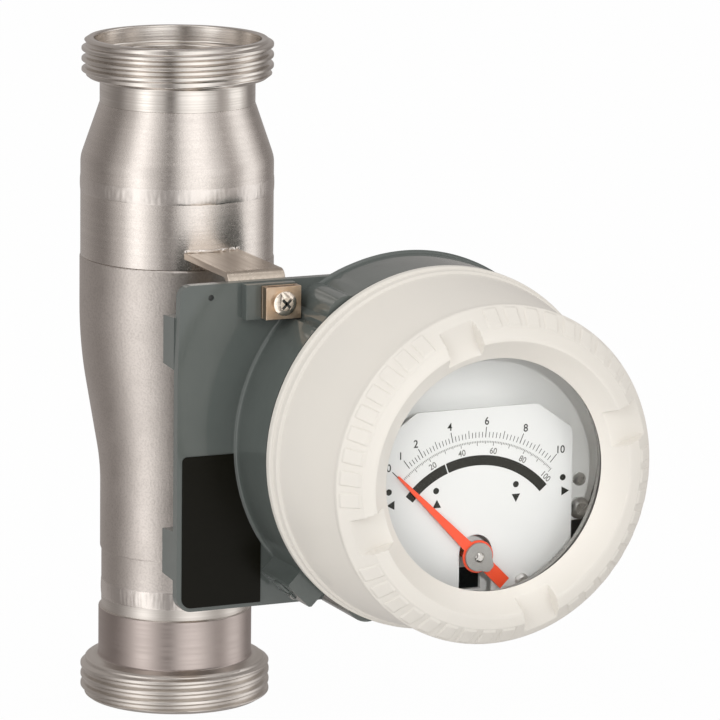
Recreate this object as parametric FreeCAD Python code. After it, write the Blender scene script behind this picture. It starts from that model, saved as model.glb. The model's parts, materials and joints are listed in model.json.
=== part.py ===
import FreeCAD, Part
import math
import os
from FreeCAD import Vector

# Metal-tube variable-area flowmeter (rotameter) for a DN 50 line.
# Units are millimetres.  The origin is the centre of the inlet face, +Z runs up the tube,
# the dial looks along -Y and +X is on the right of somebody reading the dial.

# ---- edges: a break smaller than this is a straight chamfer, a larger one is rounded ----
edge_break = 1.6
meeting_points = 1e-6

# ---- cutting tools run this far past what they cut ----
overrun = 1.0

# ---- line connections: round-thread dairy unions, Rd 78 x 1/6 inch ----
thread_radius = 39.0
thread_pitch = 25.4 / 6
thread_depth = 1.9
thread_flat = 1.0
thread_crests = 4
first_crest = 2.2
union_face_radius = 36.3
seal_recess_radius = 34.0
seal_recess_depth = 7.0
seal_recess_blend = 0.6
union_face_break = 0.5
union_length = 16.9
union_neck_blend = 0.8
union_neck_radius = 31.6
bore_radius = 27.0

# ---- pipe run: joints up from the inlet face, then lengths down from the outlet face ----
inlet_shoulder_z = 37.5
inlet_shoulder_break = 0.5
inlet_weld_z = 47.0
tube_start_z = 63.2
overall_height = 273.7
outlet_union_length = 26.3
reducer_cone_length = 22.4
reducer_skirt_length = 13.5
outlet_body_length = 26.7
inlet_pipe_radius = 30.45
wall = 2.8

# ---- tapered measuring tube: shares of its length at which the taper begins and ends ----
tube_bottom_radius = 31.0
tube_top_radius = 39.65
taper_start_share = 0.2829
taper_end_share = 0.6965
taper_bottom_blend = 95.0
taper_top_blend = 190.0

# ---- outlet body and reducer ----
outlet_radius = 39.35
reducer_blend = 14.0

# ---- float and its guides ----
float_travel = 60.0
float_clearance = 0.95
float_edge_rise = 0.4
float_stem_length = 52.0
float_edge_height = 3.0
float_root_height = 14.0
float_root_blend = 6.0
float_skirt = 2.5
float_skirt_blend = 4.0
float_nose_height = 17.0
float_nose_radius = 9.0
float_nose_blend = 1.5
float_crown = 2.0
float_crown_blend = 0.8
float_end_break = 0.4
float_stem_radius = 15.0
float_shell = 1.2
rod_radius = 4.0
rod_clearance = 0.15
magnet_height = 20.0
magnet_clearance = 0.2
float_plug_height = 4.0
guide_height = 6.0
guide_ring_wall = 2.5
guide_hub_radius = 8.0
guide_hub_height = 10.0
guide_arm_width = 3.0
guide_arms = 3
guide_inset = 24.0
press_gap = 0.05
snap_ring_height = 1.4
snap_ring_depth = 1.1
snap_ring_wall = 2.6
snap_ring_gap_angle = 24.0
stop_radius = 8.0
stop_height = 6.0
stop_break = 0.6
stop_gap = 0.3
rod_nut_height = 4.0
rod_nut_flats = 12.8
rod_end_length = 6.0
rod_end_break = 0.8

# ---- indicator housing: where its axis and the front of its back plate lie ----
indicator_x = 62.7
indicator_z = 123.0
plate_front_y = 87.0
plate_thickness = 4.0
drum_radius = 72.6
plate_reach = 25.35
plate_top_inset = 7.0
plate_bottom_inset = 6.6
plate_taper = 1.0
plate_taper_start = 28.0
plate_corner = 5.0
plate_low_corner = 6.5
drum_wall = 3.5
drum_depth = 29.0
boss_first_angle = 125.0
boss_count = 3
boss_inset = 6.6
boss_radius = 9.2
boss_wall = 2.0
bearing_boss_wall = 3.0
lug_depth = 11.0
lug_width = 5.0
lug_slope = 0.8
lug_right_x = 36.0
upper_lug = (31.6, 52.5)
lower_lug = (-53.4, -33.6)
spare_hole_inset = (14.1, 5.4)
spare_hole_radius = 1.2

# ---- cable entry on the drum ----
entry_angle = 225.0
entry_stand = 7.8
entry_width = 13.8
entry_front_inset = 2.0
entry_edge = 0.8
entry_thread_radius = 4.5
plug_head_radius = 5.6
plug_head = 0.9
plug_head_bevel = 0.4
plug_slot = (1.2, 0.6)
plug_shank = 9.0

# ---- earth terminal ----
terminal_angle = 134.45
terminal_stand = 8.93
terminal_pad_width = 21.0
terminal_pad_height = 14.0
terminal_pad_offset = -3.2
terminal_pad_depth = 4.5
clamp_width = 15.0
clamp_height = 13.0
clamp_sheet = 1.6
terminal_relief = 0.6
terminal_hole_spare = 0.5
clamp_lip = 2.2
earth_thread_radius = 2.5
earth_head_radius = 4.9
earth_head_height = 3.4
cross_width = 1.1
cross_span = 1.1
cross_depth = 0.8
pan_head_shoulder = 0.45
pan_head_crown = 0.55

# ---- name plate, left bare ----
label_inset = 2.15
label_width = 33.8
label_top = -3.0
label_bottom = -64.4
label_corner = 4.0
label_top_corner = 2.0
label_thickness = 0.5
label_gap = 1.4

# ---- bell: the pale middle of the housing ----
gasket_thickness = 1.0
gasket_outer_inset = 0.6
gasket_inner_inset = 0.4
gasket_tab = 2.4
bell_rim_overhang = 0.5
bell_length = 50.5
bell_front_radius = 65.6
bell_wall = 3.6
bell_boss_length = 16.0
bell_boss_radius = 6.0
bead_width = 4.2
bead_height = 1.1
bell_neck_length = 12.0
bell_neck_run = 4.0
bell_step = 1.5
bell_step_blend = 2.0
bell_hollow_step = 2.0
bell_hollow_blend = 4.0
bell_boss_inset = 1.0
bell_boss_end = 3.0
bell_bead_bevel = 1.0
bell_front_bevel = (1.6, 1.2)

# ---- screwed cover with its window ----
cover_thread_radius = 58.0
cover_thread_clearance = 0.1
cover_thread_pitch = 2.0
cover_turns = 4.5
cover_free_lift = 1.0
cover_skirt_radius = 53.0
cover_gap = 0.5
cover_radius = 67.2
cover_band = 3.6
cover_face_outer = 59.4
cover_face_inner = 54.4
cover_height = 12.0
cover_face_drop = 1.1
window_radius = 45.6
window_lip = 0.4
window_depth = 8.2
cover_back_bevel = (1.0, 1.5)
cover_skirt_bevel = 0.8
cover_inner_break = 1.0
cover_outer_break = 1.2
cover_edge_break = 1.5
glass_thickness = 5.0
glass_clearance = 0.3
glass_break = 0.4
glass_gasket = 0.8
gasket_overlap = 0.6
retainer_height = 2.5
retainer_inner = 48.5
retainer_pin_hole = 1.2
retainer_pin_depth = 1.5
notch_angle = 17.75
notch_count = 4
notch_width = 14.5
notch_depth = 5.3
pads_per_group = 9
pad_pitch = 7.75
pad_width = 5.2
pad_height = 0.7
pad_margin = 0.7
seal_height = 2.4
seal_inner = 59.2
seal_width = 2.4
seal_bevel = 0.7
seal_clearance = 0.1

# ---- movement and dial ----
hub_y = -35.5
carrier_radius = 58.0
carrier_thickness = 2.0
dial_stand = 10.1
pillar_radius = 3.2
pillar_places = ((49.4, -22.6), (-49.4, -22.6), (0.0, 52.0))
pillar_screw_radius = 1.5
pillar_screw_head = 4.3
pillar_screw_head_height = 3.2
pillar_screw_grip = 6.0
pillar_foot_height = 2.0
pillar_foot_rim = 2.0
small_screw_places = ((49.4, -11.0), (-49.4, -11.0))
small_screw_radius = 1.0
small_screw_head = 2.7
small_screw_head_height = 2.4
blind_spare = 1.0
dial_to_glass = 10.1
dial_thickness = 0.8
dial_half_width = 41.5
dial_top = 23.3
dial_corner = (26.0, 11.0)
dial_bottom_radius = 55.0
dial_slot_radius = 7.0
dial_slot_rise = 1.3
dial_post_places = ((20.1, -47.2), (-20.1, -47.2), (34.0, 10.0), (-34.0, 10.0))
dial_post_radius = 2.4
dial_screw_head = 2.8
dial_screw_head_height = 1.9
dial_screw_grip = 4.0
dial_corner_blend = 4.0
dial_screw_count = 2
carrier_window = (44.0, 52.0, 27.5, 42.0)
carrier_slot_length = 9.0
bearing_radius = 3.0
bearing_height = 4.0
bearing_clearance = 0.04
shaft_radius = 1.0
shaft_back = 1.0
shaft_step = 0.5
front_bearing_rise = 1.0
follower_radius = 10.0
follower_height = 8.0
follower_back = 9.0
fit_gap = 0.02
pointer_gap = 1.8
pointer_thickness = 0.6
pointer_length = 49.2
pointer_tail = 16.6
pointer_tail_width = 5.4
pointer_root_width = 4.8
pointer_tip_width = 0.9
pointer_tip_break = 0.36
pointer_ring = 6.5
pointer_zero_angle = 45.0
hub_disc_radius = 5.7
hub_disc_height = 1.3
hub_nose_length = 1.8
hub_nose_half = 1.6
hub_nose_break = 0.6
hub_nose_root = (0.75, 0.55)
hub_screw_radius = 2.0
hub_screw_height = 1.0
hub_screw_rim = 0.4
hub_screw_crown = 0.6
hub_slot = 0.6
hub_slot_depth = 0.4
hub_slot_angle = 20.0

# ---- brackets between pipe and housing ----
bracket_width = 24.6
bracket_sheet = 2.6
bracket_bend = 4.0
upper_bracket_rise = 68.9
lower_bracket_drop = 57.0
bracket_flange = 30.0
bracket_screw_inset = (11.0, 23.0)
bracket_screw_radius = 2.5
bracket_head_flats = 8.0
bracket_head_height = 3.5
bracket_thread_end = 0.8
screw_hole_gap = 0.2
housing_screw_radius = 2.5
housing_head_radius = 4.25
housing_head_height = 5.0
housing_head_break = 0.5
housing_socket_flats = 4.0
housing_socket_depth = 2.5

# ---- derived places along the pipe ----
reducer_end_z = overall_height - outlet_union_length
reducer_start_z = reducer_end_z - reducer_cone_length
body_weld_z = reducer_start_z - reducer_skirt_length
tube_end_z = body_weld_z - outlet_body_length
taper_start_z = tube_start_z + taper_start_share * (tube_end_z - tube_start_z)
taper_end_z = tube_start_z + taper_end_share * (tube_end_z - tube_start_z)
float_edge_z = taper_start_z + float_edge_rise
float_bottom_z = float_edge_z - float_stem_length
float_top_z = float_edge_z + float_edge_height + float_nose_height
rod_bottom_z = guide_inset - guide_hub_height / 2 - rod_end_length
rod_top_z = overall_height - rod_bottom_z
upper_bracket_top = indicator_z + upper_bracket_rise
lower_bracket_bottom = indicator_z - lower_bracket_drop

# ---- derived places on the housing, from its axis ----
plate_left = drum_radius + plate_reach
plate_top = drum_radius - plate_top_inset
plate_bottom = drum_radius - plate_bottom_inset
boss_circle = drum_radius - boss_inset
drum_bore = drum_radius - drum_wall
entry_reach = drum_radius + entry_stand
entry_front = drum_depth - entry_front_inset
terminal_x = (drum_radius + terminal_stand) * math.cos(math.radians(terminal_angle))
terminal_y = (drum_radius + terminal_stand) * math.sin(math.radians(terminal_angle))
label_left = plate_left - label_inset
bell_rim_radius = drum_radius + bell_rim_overhang

# ---- derived places forward of the back plate ----
bell_back = drum_depth + gasket_thickness
bell_front = bell_back + bell_length
cover_back = bell_front + cover_gap
cover_skirt_length = cover_turns * cover_thread_pitch - cover_free_lift
cover_edge = cover_back + cover_band
cover_front = cover_back + cover_height
window_front = cover_front - window_depth
glass_front = window_front - window_lip - glass_gasket
glass_back = glass_front - glass_thickness
dial_front = glass_back - dial_to_glass
carrier_front = dial_front - dial_stand
pointer_back = dial_front + pointer_gap
pointer_front = pointer_back + pointer_thickness


def save(name, shape):
    shape.exportStep("parts/" + name + ".step")


def edge_chain(corners, up=Vector(0, 0, 1)):
    """Closed outline from (across, up, blend) corners: tangent arcs, or chamfers if small."""
    spots = [Vector(corner[0], 0, 0) + up * corner[1] for corner in corners]
    count = len(corners)
    runs = []
    for i in range(count):
        blend = corners[i][2] if len(corners[i]) > 2 else 0.0
        before = spots[i - 1] - spots[i]
        after = spots[(i + 1) % count] - spots[i]
        if blend <= 0:
            runs.append((spots[i], None, spots[i]))
            continue
        before.normalize()
        after.normalize()
        if blend < edge_break:
            runs.append((spots[i] + before * blend, None, spots[i] + after * blend))
            continue
        half = before.getAngle(after) / 2
        reach = blend / math.tan(half)
        middle = before + after
        middle.normalize()
        top = spots[i] + middle * (blend / math.sin(half) - blend)
        runs.append((spots[i] + before * reach, top, spots[i] + after * reach))
    edges = []
    for i in range(count):
        start, top, end = runs[i]
        if top is not None:
            edges.append(Part.Arc(start, top, end).toShape())
        elif (end - start).Length > meeting_points:
            edges.append(Part.LineSegment(start, end).toShape())
        following = runs[(i + 1) % count][0]
        if (following - end).Length > meeting_points:
            edges.append(Part.LineSegment(end, following).toShape())
    return edges


def turned(corners):
    """Solid of revolution about Z of an outline given as (radius, height, blend) corners."""
    face = Part.Face(Part.Wire(edge_chain(corners)))
    return face.revolve(Vector(0, 0, 0), Vector(0, 0, 1), 360)


def slab(corners, bottom, top):
    """Flat piece: an outline in the XY plane, thickened upwards."""
    face = Part.Face(Part.Wire(edge_chain(corners, Vector(0, 1, 0))))
    face.translate(Vector(0, 0, bottom))
    return face.extrude(Vector(0, 0, top - bottom))


def ring(outer, inner, bottom, top):
    return turned([(inner, bottom), (outer, bottom), (outer, top), (inner, top)])


def disc(radius, bottom, top, x=0.0, y=0.0):
    return Part.makeCylinder(radius, top - bottom, Vector(x, y, bottom))


def block(x0, x1, y0, y1, z0, z1):
    return Part.makeBox(x1 - x0, y1 - y0, z1 - z0, Vector(x0, y0, z0))


def hexagon(flats, bottom, top, x=0.0, y=0.0):
    corner = flats / math.sqrt(3)
    points = [Vector(x + corner * math.cos(math.radians(60 * k)),
                     y + corner * math.sin(math.radians(60 * k)), bottom) for k in range(7)]
    return Part.Face(Part.makePolygon(points)).extrude(Vector(0, 0, top - bottom))


def spun(shape, angle):
    copy = shape.copy()
    copy.rotate(Vector(0, 0, 0), Vector(0, 0, 1), angle)
    return copy


def polar(radius, angle):
    return radius * math.cos(math.radians(angle)), radius * math.sin(math.radians(angle))


def boss_centres(circle):
    """Centres of the housing screws on a circle of the given radius."""
    return [polar(circle, boss_first_angle + 360 * k / boss_count) for k in range(boss_count)]


def at_indicator(shape):
    """From indicator axes (x right, y up, z forward) to the part's own frame."""
    placed = shape.copy()
    placed.rotate(Vector(0, 0, 0), Vector(1, 0, 0), 90)
    placed.translate(Vector(indicator_x, -plate_front_y, indicator_z))
    return placed


# ---------------------------------------------------------------- pipe run

def thread_corners():
    """Thread seen in section, from the union face towards the neck."""
    half = thread_flat / 2
    root = thread_radius - thread_depth
    corners = [(root, first_crest - thread_pitch / 2 + half)]
    for k in range(thread_crests):
        crest = first_crest + k * thread_pitch
        if k:
            corners.append((root, crest - thread_pitch / 2 - half))
            corners.append((root, crest - thread_pitch / 2 + half))
        corners.append((thread_radius, crest - half))
        corners.append((thread_radius, crest + half))
    return corners


def union_outline(length, end_corners):
    """Half section of a threaded union whose face lies at height 0 and whose neck points up."""
    corners = [(bore_radius, length)]
    corners.append((bore_radius, seal_recess_depth, seal_recess_blend))
    corners.append((seal_recess_radius, seal_recess_depth, seal_recess_blend))
    corners.append((seal_recess_radius, 0, union_face_break))
    corners.append((union_face_radius, 0, union_face_break))
    corners += thread_corners()
    corners.append((union_neck_radius, union_length, union_neck_blend))
    return corners + end_corners


def snap_groove(bottom):
    return ring(bore_radius + snap_ring_depth, bore_radius - overrun, bottom, bottom + snap_ring_height)


def inlet_coupling():
    step = [(union_neck_radius, inlet_shoulder_z, inlet_shoulder_break),
            (inlet_pipe_radius, inlet_shoulder_z), (inlet_pipe_radius, inlet_weld_z)]
    body = turned(union_outline(inlet_weld_z, step))
    return body.cut(snap_groove(guide_inset - guide_height / 2 - snap_ring_height))


def outlet_coupling():
    body = turned(union_outline(outlet_union_length, [(union_neck_radius, outlet_union_length)]))
    body = body.cut(snap_groove(guide_inset - guide_height / 2 - snap_ring_height))
    body.rotate(Vector(0, 0, 0), Vector(1, 0, 0), 180)
    body.translate(Vector(0, 0, overall_height))
    return body


def inlet_pipe():
    return ring(inlet_pipe_radius, bore_radius, inlet_weld_z, tube_start_z)


def tube_outside():
    return [(tube_bottom_radius, tube_start_z),
            (tube_bottom_radius, taper_start_z, taper_bottom_blend),
            (tube_top_radius, taper_end_z, taper_top_blend), (tube_top_radius, tube_end_z)]


def measuring_tube():
    inner = [(tube_top_radius - wall, tube_end_z),
             (tube_top_radius - wall, taper_end_z, taper_top_blend - wall),
             (tube_bottom_radius - wall, taper_start_z, taper_bottom_blend + wall),
             (tube_bottom_radius - wall, tube_start_z)]
    return turned(tube_outside() + inner)


def outlet_body():
    return ring(outlet_radius, outlet_radius - wall, tube_end_z, body_weld_z)


def reducer_outside():
    return [(outlet_radius, body_weld_z), (outlet_radius, reducer_start_z, reducer_blend),
            (union_neck_radius, reducer_end_z)]


def outlet_reducer():
    inner_radius = outlet_radius - wall
    return turned(reducer_outside() + [(bore_radius, reducer_end_z),
                                       (inner_radius, reducer_start_z, reducer_blend),
                                       (inner_radius, body_weld_z)])


def pipe_envelope():
    """Filled outside of the welded pipe run, which the brackets are cut to."""
    below = [(0, inlet_weld_z), (inlet_pipe_radius, inlet_weld_z), (inlet_pipe_radius, tube_start_z)]
    return turned(below + tube_outside() + [(outlet_radius, tube_end_z)] + reducer_outside()[1:]
                  + [(0, reducer_end_z)])


# ---------------------------------------------------------------- float and guides

def guide(centre_z):
    rim = bore_radius - press_gap
    low = centre_z - guide_height / 2
    body = ring(rim, rim - guide_ring_wall, low, low + guide_height)
    hub_low = centre_z - guide_hub_height / 2
    body = body.fuse(disc(guide_hub_radius, hub_low, hub_low + guide_hub_height))
    for k in range(guide_arms):
        arm = block(guide_hub_radius / 2, rim - guide_ring_wall / 2, -guide_arm_width / 2,
                    guide_arm_width / 2, low, low + guide_height)
        body = body.fuse(spun(arm, 90 + 360 * k / guide_arms))
    hole = disc(rod_radius + press_gap, hub_low - overrun, hub_low + guide_hub_height + overrun)
    return body.cut(hole).removeSplitter()


def snap_ring(bottom):
    outer = bore_radius + snap_ring_depth - press_gap
    thick = snap_ring_height - 2 * press_gap
    body = ring(outer, outer - snap_ring_wall, bottom + press_gap, bottom + press_gap + thick)
    half = outer * math.tan(math.radians(snap_ring_gap_angle / 2))
    return body.cut(block(0, outer + overrun, -half, half, bottom - overrun,
                          bottom + snap_ring_height + overrun))


def guide_rod():
    return turned([(0, rod_bottom_z), (rod_radius, rod_bottom_z, rod_end_break),
                   (rod_radius, rod_top_z, rod_end_break), (0, rod_top_z)])


def rod_nut(bottom):
    nut = hexagon(rod_nut_flats, bottom, bottom + rod_nut_height)
    return nut.cut(disc(rod_radius + press_gap, bottom - overrun, bottom + rod_nut_height + overrun))


def rod_nuts():
    low = guide_inset - guide_hub_height / 2 - rod_nut_height
    high = overall_height - guide_inset + guide_hub_height / 2
    return Part.makeCompound([rod_nut(low), rod_nut(high)])


def float_stop(bottom):
    inner = rod_radius + press_gap
    top = bottom + stop_height
    return turned([(inner, bottom), (stop_radius, bottom, stop_break),
                   (stop_radius, top, stop_break), (inner, top)])


def float_body():
    """Hollow-stemmed float; the magnet chamber opens downwards and a plug closes it."""
    edge = tube_bottom_radius - wall - float_clearance
    inner = rod_radius + rod_clearance
    chamber_top = float_bottom_z + float_plug_height + magnet_height + magnet_clearance
    chamber = float_stem_radius - float_shell
    return turned([(chamber, float_bottom_z), (float_stem_radius, float_bottom_z, float_end_break),
                   (float_stem_radius, float_edge_z - float_root_height, float_root_blend),
                   (edge - float_skirt, float_edge_z - float_skirt, float_skirt_blend),
                   (edge, float_edge_z), (edge, float_edge_z + float_edge_height),
                   (edge - float_crown, float_edge_z + float_edge_height, float_crown_blend),
                   (float_nose_radius, float_top_z, float_nose_blend), (inner, float_top_z),
                   (inner, chamber_top), (chamber, chamber_top)])


def float_magnet():
    inner = rod_radius + rod_clearance + float_shell
    low = float_bottom_z + float_plug_height
    return ring(float_stem_radius - float_shell - magnet_clearance, inner + magnet_clearance,
                low, low + magnet_height)


def float_plug():
    inner = rod_radius + rod_clearance
    rim = float_stem_radius - float_shell - fit_gap
    sleeve = inner + float_shell
    top = float_bottom_z + float_plug_height
    return turned([(inner, float_bottom_z, float_end_break), (rim, float_bottom_z), (rim, top),
                   (sleeve, top), (sleeve, top + magnet_height), (inner, top + magnet_height)])


# ---------------------------------------------------------------- brackets

def bracket(level, turn):
    """Bent strip: a tongue welded to the pipe and a flange that turns up (1) or down (-1)."""
    back = plate_front_y - plate_thickness
    far = level + turn * bracket_flange
    inside = level + turn * bracket_sheet
    outline = [(0, level), (back, level, bracket_bend), (back, far), (back - bracket_sheet, far),
               (back - bracket_sheet, inside, bracket_bend - bracket_sheet), (0, inside)]
    face = Part.Face(Part.Wire(edge_chain(outline)))
    strip = face.extrude(Vector(0, bracket_width, 0))
    strip.translate(Vector(0, -bracket_width / 2, 0))
    strip.rotate(Vector(0, 0, 0), Vector(0, 0, 1), -90)
    strip = strip.cut(pipe_envelope())
    for inset in bracket_screw_inset:
        radius = bracket_screw_radius + screw_hole_gap
        start = Vector(0, overrun - back + bracket_sheet, level + turn * inset)
        length = bracket_sheet + 2 * overrun
        strip = strip.cut(Part.makeCylinder(radius, length, start, Vector(0, -1, 0)))
    return strip


def bracket_screw_heights():
    upper = [upper_bracket_top - inset for inset in bracket_screw_inset]
    lower = [lower_bracket_bottom + inset for inset in bracket_screw_inset]
    return upper + lower


def bracket_screws():
    seat = -plate_thickness - bracket_sheet
    screws = []
    for height in bracket_screw_heights():
        x, y = -indicator_x, height - indicator_z
        head = hexagon(bracket_head_flats, seat - bracket_head_height, seat, x, y)
        screws.append(head.fuse(disc(bracket_screw_radius, seat, -bracket_thread_end, x, y)))
    return at_indicator(Part.makeCompound(screws))


# ---------------------------------------------------------------- dark housing base

def plate_blank():
    outline = [(-plate_left, -plate_bottom, plate_low_corner), (0, -plate_bottom), (0, plate_top),
               (plate_taper - plate_left, plate_top, plate_corner),
               (-plate_left, plate_taper_start)]
    return slab(outline, -plate_thickness, 0)


def lug(left, low, high):
    """Guard lug behind the plate; both ends close in towards its free edge."""
    back = -plate_thickness
    points = [Vector(left, low, back), Vector(left, high, back),
              Vector(left, high - lug_slope, back - lug_depth),
              Vector(left, low + lug_slope, back - lug_depth), Vector(left, low, back)]
    return Part.Face(Part.makePolygon(points)).extrude(Vector(lug_width, 0, 0))


def entry_boss():
    """Squared boss on the drum, with the corners of its outer end broken."""
    inner, half, edge = drum_bore - drum_wall, entry_width / 2, entry_edge
    corners = [(inner, -half), (entry_reach - edge, -half), (entry_reach, edge - half),
               (entry_reach, half - edge), (entry_reach - edge, half), (inner, half)]
    return spun(slab(corners, -plate_thickness / 2, entry_front), entry_angle)


def entry_bore():
    start = Vector(drum_radius / 2, 0, 0)
    hole = Part.makeCylinder(entry_thread_radius, drum_radius, start, Vector(1, 0, 0))
    hole.translate(Vector(0, 0, entry_front / 2))
    return spun(hole, entry_angle)


def blanking_plug():
    """Low slotted screw plug that closes the spare cable entry."""
    radius, bevel = plug_head_radius, plug_head_bevel
    width, depth = plug_slot
    plug = turned([(0, 0), (radius, 0), (radius, plug_head - bevel), (radius - bevel, plug_head),
                   (0, plug_head)])
    plug = plug.cut(block(-radius, radius, -width / 2, width / 2, plug_head - depth,
                          plug_head + overrun))
    plug = plug.fuse(disc(entry_thread_radius - press_gap, -plug_shank, 0))
    plug.rotate(Vector(0, 0, 0), Vector(0, 1, 0), 90)
    plug.translate(Vector(entry_reach, 0, entry_front / 2))
    return spun(plug, entry_angle)


def housing_base():
    body = disc(drum_radius, -plate_thickness, drum_depth).fuse(plate_blank())
    for x, y in boss_centres(boss_circle):
        body = body.fuse(disc(boss_radius, -plate_thickness, drum_depth, x, y))
    body = body.fuse(entry_boss())
    pad_left = terminal_x + terminal_pad_offset - terminal_pad_width / 2
    half_pad = terminal_pad_height / 2
    body = body.fuse(block(pad_left, pad_left + terminal_pad_width, terminal_y - half_pad,
                           terminal_y + half_pad, -plate_thickness, terminal_pad_depth))
    body = body.cut(disc(drum_bore, 0, drum_depth + overrun))
    for x, y in boss_centres(boss_circle):
        inner = disc(boss_radius - boss_wall, -plate_thickness, drum_depth, x, y)
        body = body.fuse(inner.common(disc(drum_radius, -plate_thickness, drum_depth)))
    for left in (-plate_left, lug_right_x - indicator_x):
        for low, high in (upper_lug, lower_lug):
            body = body.fuse(lug(left, low, high))
    body = body.fuse(disc(bearing_radius + bearing_boss_wall, 0, bearing_height, 0, hub_y))
    for x, y in pillar_places:
        body = body.fuse(disc(pillar_radius + pillar_foot_rim, 0, pillar_foot_height, x, y))
    return body.cut(base_holes()).removeSplitter()


def base_holes():
    holes = [entry_bore()]
    across, down = spare_hole_inset
    holes.append(disc(spare_hole_radius, -plate_thickness - overrun, overrun, across - plate_left,
                      plate_top - down))
    holes.append(disc(earth_thread_radius + press_gap, -plate_thickness / 2,
                      terminal_pad_depth + overrun, terminal_x, terminal_y))
    holes.append(disc(bearing_radius + fit_gap, shaft_back - shaft_step, bearing_height + overrun, 0,
                      hub_y))
    for x, y in boss_centres(boss_circle):
        radius = housing_screw_radius + screw_hole_gap
        holes.append(disc(radius, -plate_thickness - overrun, drum_depth + overrun, x, y))
    half_w = clamp_width / 2 + terminal_relief
    half_h = clamp_height / 2 + terminal_relief
    holes.append(block(terminal_x - half_w, terminal_x + half_w, terminal_y - half_h,
                       terminal_y + half_h, terminal_pad_depth, terminal_pad_depth + 2 * clamp_height))
    for height in bracket_screw_heights():
        holes.append(disc(bracket_screw_radius + press_gap, -plate_thickness - overrun,
                          -bracket_thread_end + fit_gap, -indicator_x, height - indicator_z))
    return Part.makeCompound(holes)


def name_plate():
    right = label_width - label_left
    outline = [(-label_left, label_bottom, label_corner), (right, label_bottom),
               (right, label_top), (-label_left, label_top, label_top_corner)]
    sheet = slab(outline, 0, label_thickness)
    return sheet.cut(disc(drum_radius + label_gap, -overrun, label_thickness + overrun))


def pan_head(radius, height, x, y, seat):
    """Domed screw head standing forward of its seat, with a cross recess."""
    brow = (1 + pan_head_crown) / 2
    head = turned([(0, 0), (radius, 0), (radius, height * pan_head_shoulder),
                   (radius * brow, height * brow), (radius * pan_head_crown, height), (0, height)])
    half = cross_span * radius / 2
    slot = block(-half, half, -cross_width / 2, cross_width / 2, height - cross_depth,
                 height + overrun)
    head = head.cut(spun(slot, 45)).cut(spun(slot, 135))
    head.translate(Vector(x, y, seat))
    return head


def screw(thread, head, head_height, x, y, seat, tip):
    return pan_head(head, head_height, x, y, seat).fuse(disc(thread, tip, seat, x, y))


def clamp_plate(low, lip, lip_sheet):
    """Square plate of the earth terminal with two lips bent back over its pad."""
    half_w = clamp_width / 2
    half_h = clamp_height / 2
    sheet = block(-half_w, half_w, -half_h, half_h, low, low + clamp_sheet)
    for side in (-1, 1):
        edge = side * (half_w - lip_sheet / 2)
        sheet = sheet.fuse(block(edge - lip_sheet / 2, edge + lip_sheet / 2, -half_h, half_h,
                                 low - lip, low))
    sheet.translate(Vector(terminal_x, terminal_y, 0))
    radius = earth_thread_radius + screw_hole_gap
    return sheet.cut(disc(radius, low - overrun, low + clamp_sheet + overrun, terminal_x, terminal_y))


def earth_clamp():
    half_w = clamp_width / 2
    half_h = clamp_height / 2
    sheet = block(terminal_x - half_w, terminal_x + half_w, terminal_y - half_h, terminal_y + half_h,
                  terminal_pad_depth, terminal_pad_depth + clamp_sheet)
    top = terminal_pad_depth + clamp_sheet + overrun
    return sheet.cut(disc(earth_thread_radius + screw_hole_gap, 0, top, terminal_x, terminal_y))


def earth_saddle():
    return clamp_plate(terminal_pad_depth + clamp_sheet + clamp_lip, clamp_lip, clamp_sheet)


def earth_screw():
    seat = terminal_pad_depth + 2 * clamp_sheet + clamp_lip
    return screw(earth_thread_radius, earth_head_radius, earth_head_height, terminal_x, terminal_y,
                 seat, terminal_hole_spare - plate_thickness / 2)


# ---------------------------------------------------------------- bell

def housing_gasket():
    outer = drum_radius - gasket_outer_inset
    body = ring(outer, drum_bore + gasket_inner_inset, drum_depth, bell_back)
    for x, y in boss_centres(boss_circle):
        tab = disc(housing_screw_radius + gasket_tab, drum_depth, bell_back, x, y)
        body = body.fuse(tab.common(disc(outer, drum_depth, bell_back)))
    for x, y in boss_centres(boss_circle):
        radius = housing_screw_radius + screw_hole_gap
        body = body.cut(disc(radius, drum_depth - overrun, bell_back + overrun, x, y))
    return body.removeSplitter()


def bell_outline():
    """Outside of the bell from the gasket forwards: two beads, then a long shoulder."""
    base = bell_rim_radius - bead_height
    neck = base - bead_height
    first = bell_back + bead_width
    second = first + bead_width
    across, down = bell_front_bevel
    return [(base, bell_back), (bell_rim_radius, bell_back + bell_bead_bevel),
            (bell_rim_radius, first - bell_bead_bevel), (base, first),
            (base, second - bell_bead_bevel), (neck, second),
            (neck, second + bell_step, bell_step_blend), (bell_front_radius, bell_front - down),
            (bell_front_radius - across, bell_front)]


def bell_hollow():
    """Inside of the bell from the cover thread back to the drum."""
    neck_end = bell_front - bell_neck_length
    wide = bell_back + 2 * bead_width + bell_step
    return [(cover_thread_radius, bell_front), (cover_thread_radius, neck_end),
            (bell_front_radius - bell_wall, neck_end - bell_neck_run),
            (drum_bore - bell_hollow_step, wide, bell_hollow_blend), (drum_bore, bell_back)]


def bell():
    """Turned shell with a threaded neck, a seal groove in its rim and bosses for the screws."""
    outer = seal_inner + seal_width + seal_clearance
    inner = seal_inner - seal_clearance
    floor = bell_front - seal_height
    groove = [(outer, bell_front), (outer, floor), (inner, floor), (inner, bell_front)]
    body = turned(bell_outline() + groove + bell_hollow())
    boss_end = bell_back + bell_boss_length
    limit = disc(bell_rim_radius - 2 * bead_height, bell_back, boss_end)
    for x, y in boss_centres(boss_circle - bell_boss_inset):
        body = body.fuse(disc(bell_boss_radius, bell_back, boss_end, x, y).common(limit))
    for x, y in boss_centres(boss_circle):
        hole_end = boss_end - bell_boss_end
        body = body.cut(disc(housing_screw_radius + press_gap, bell_back - overrun, hole_end, x, y))
    return body.removeSplitter()


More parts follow.
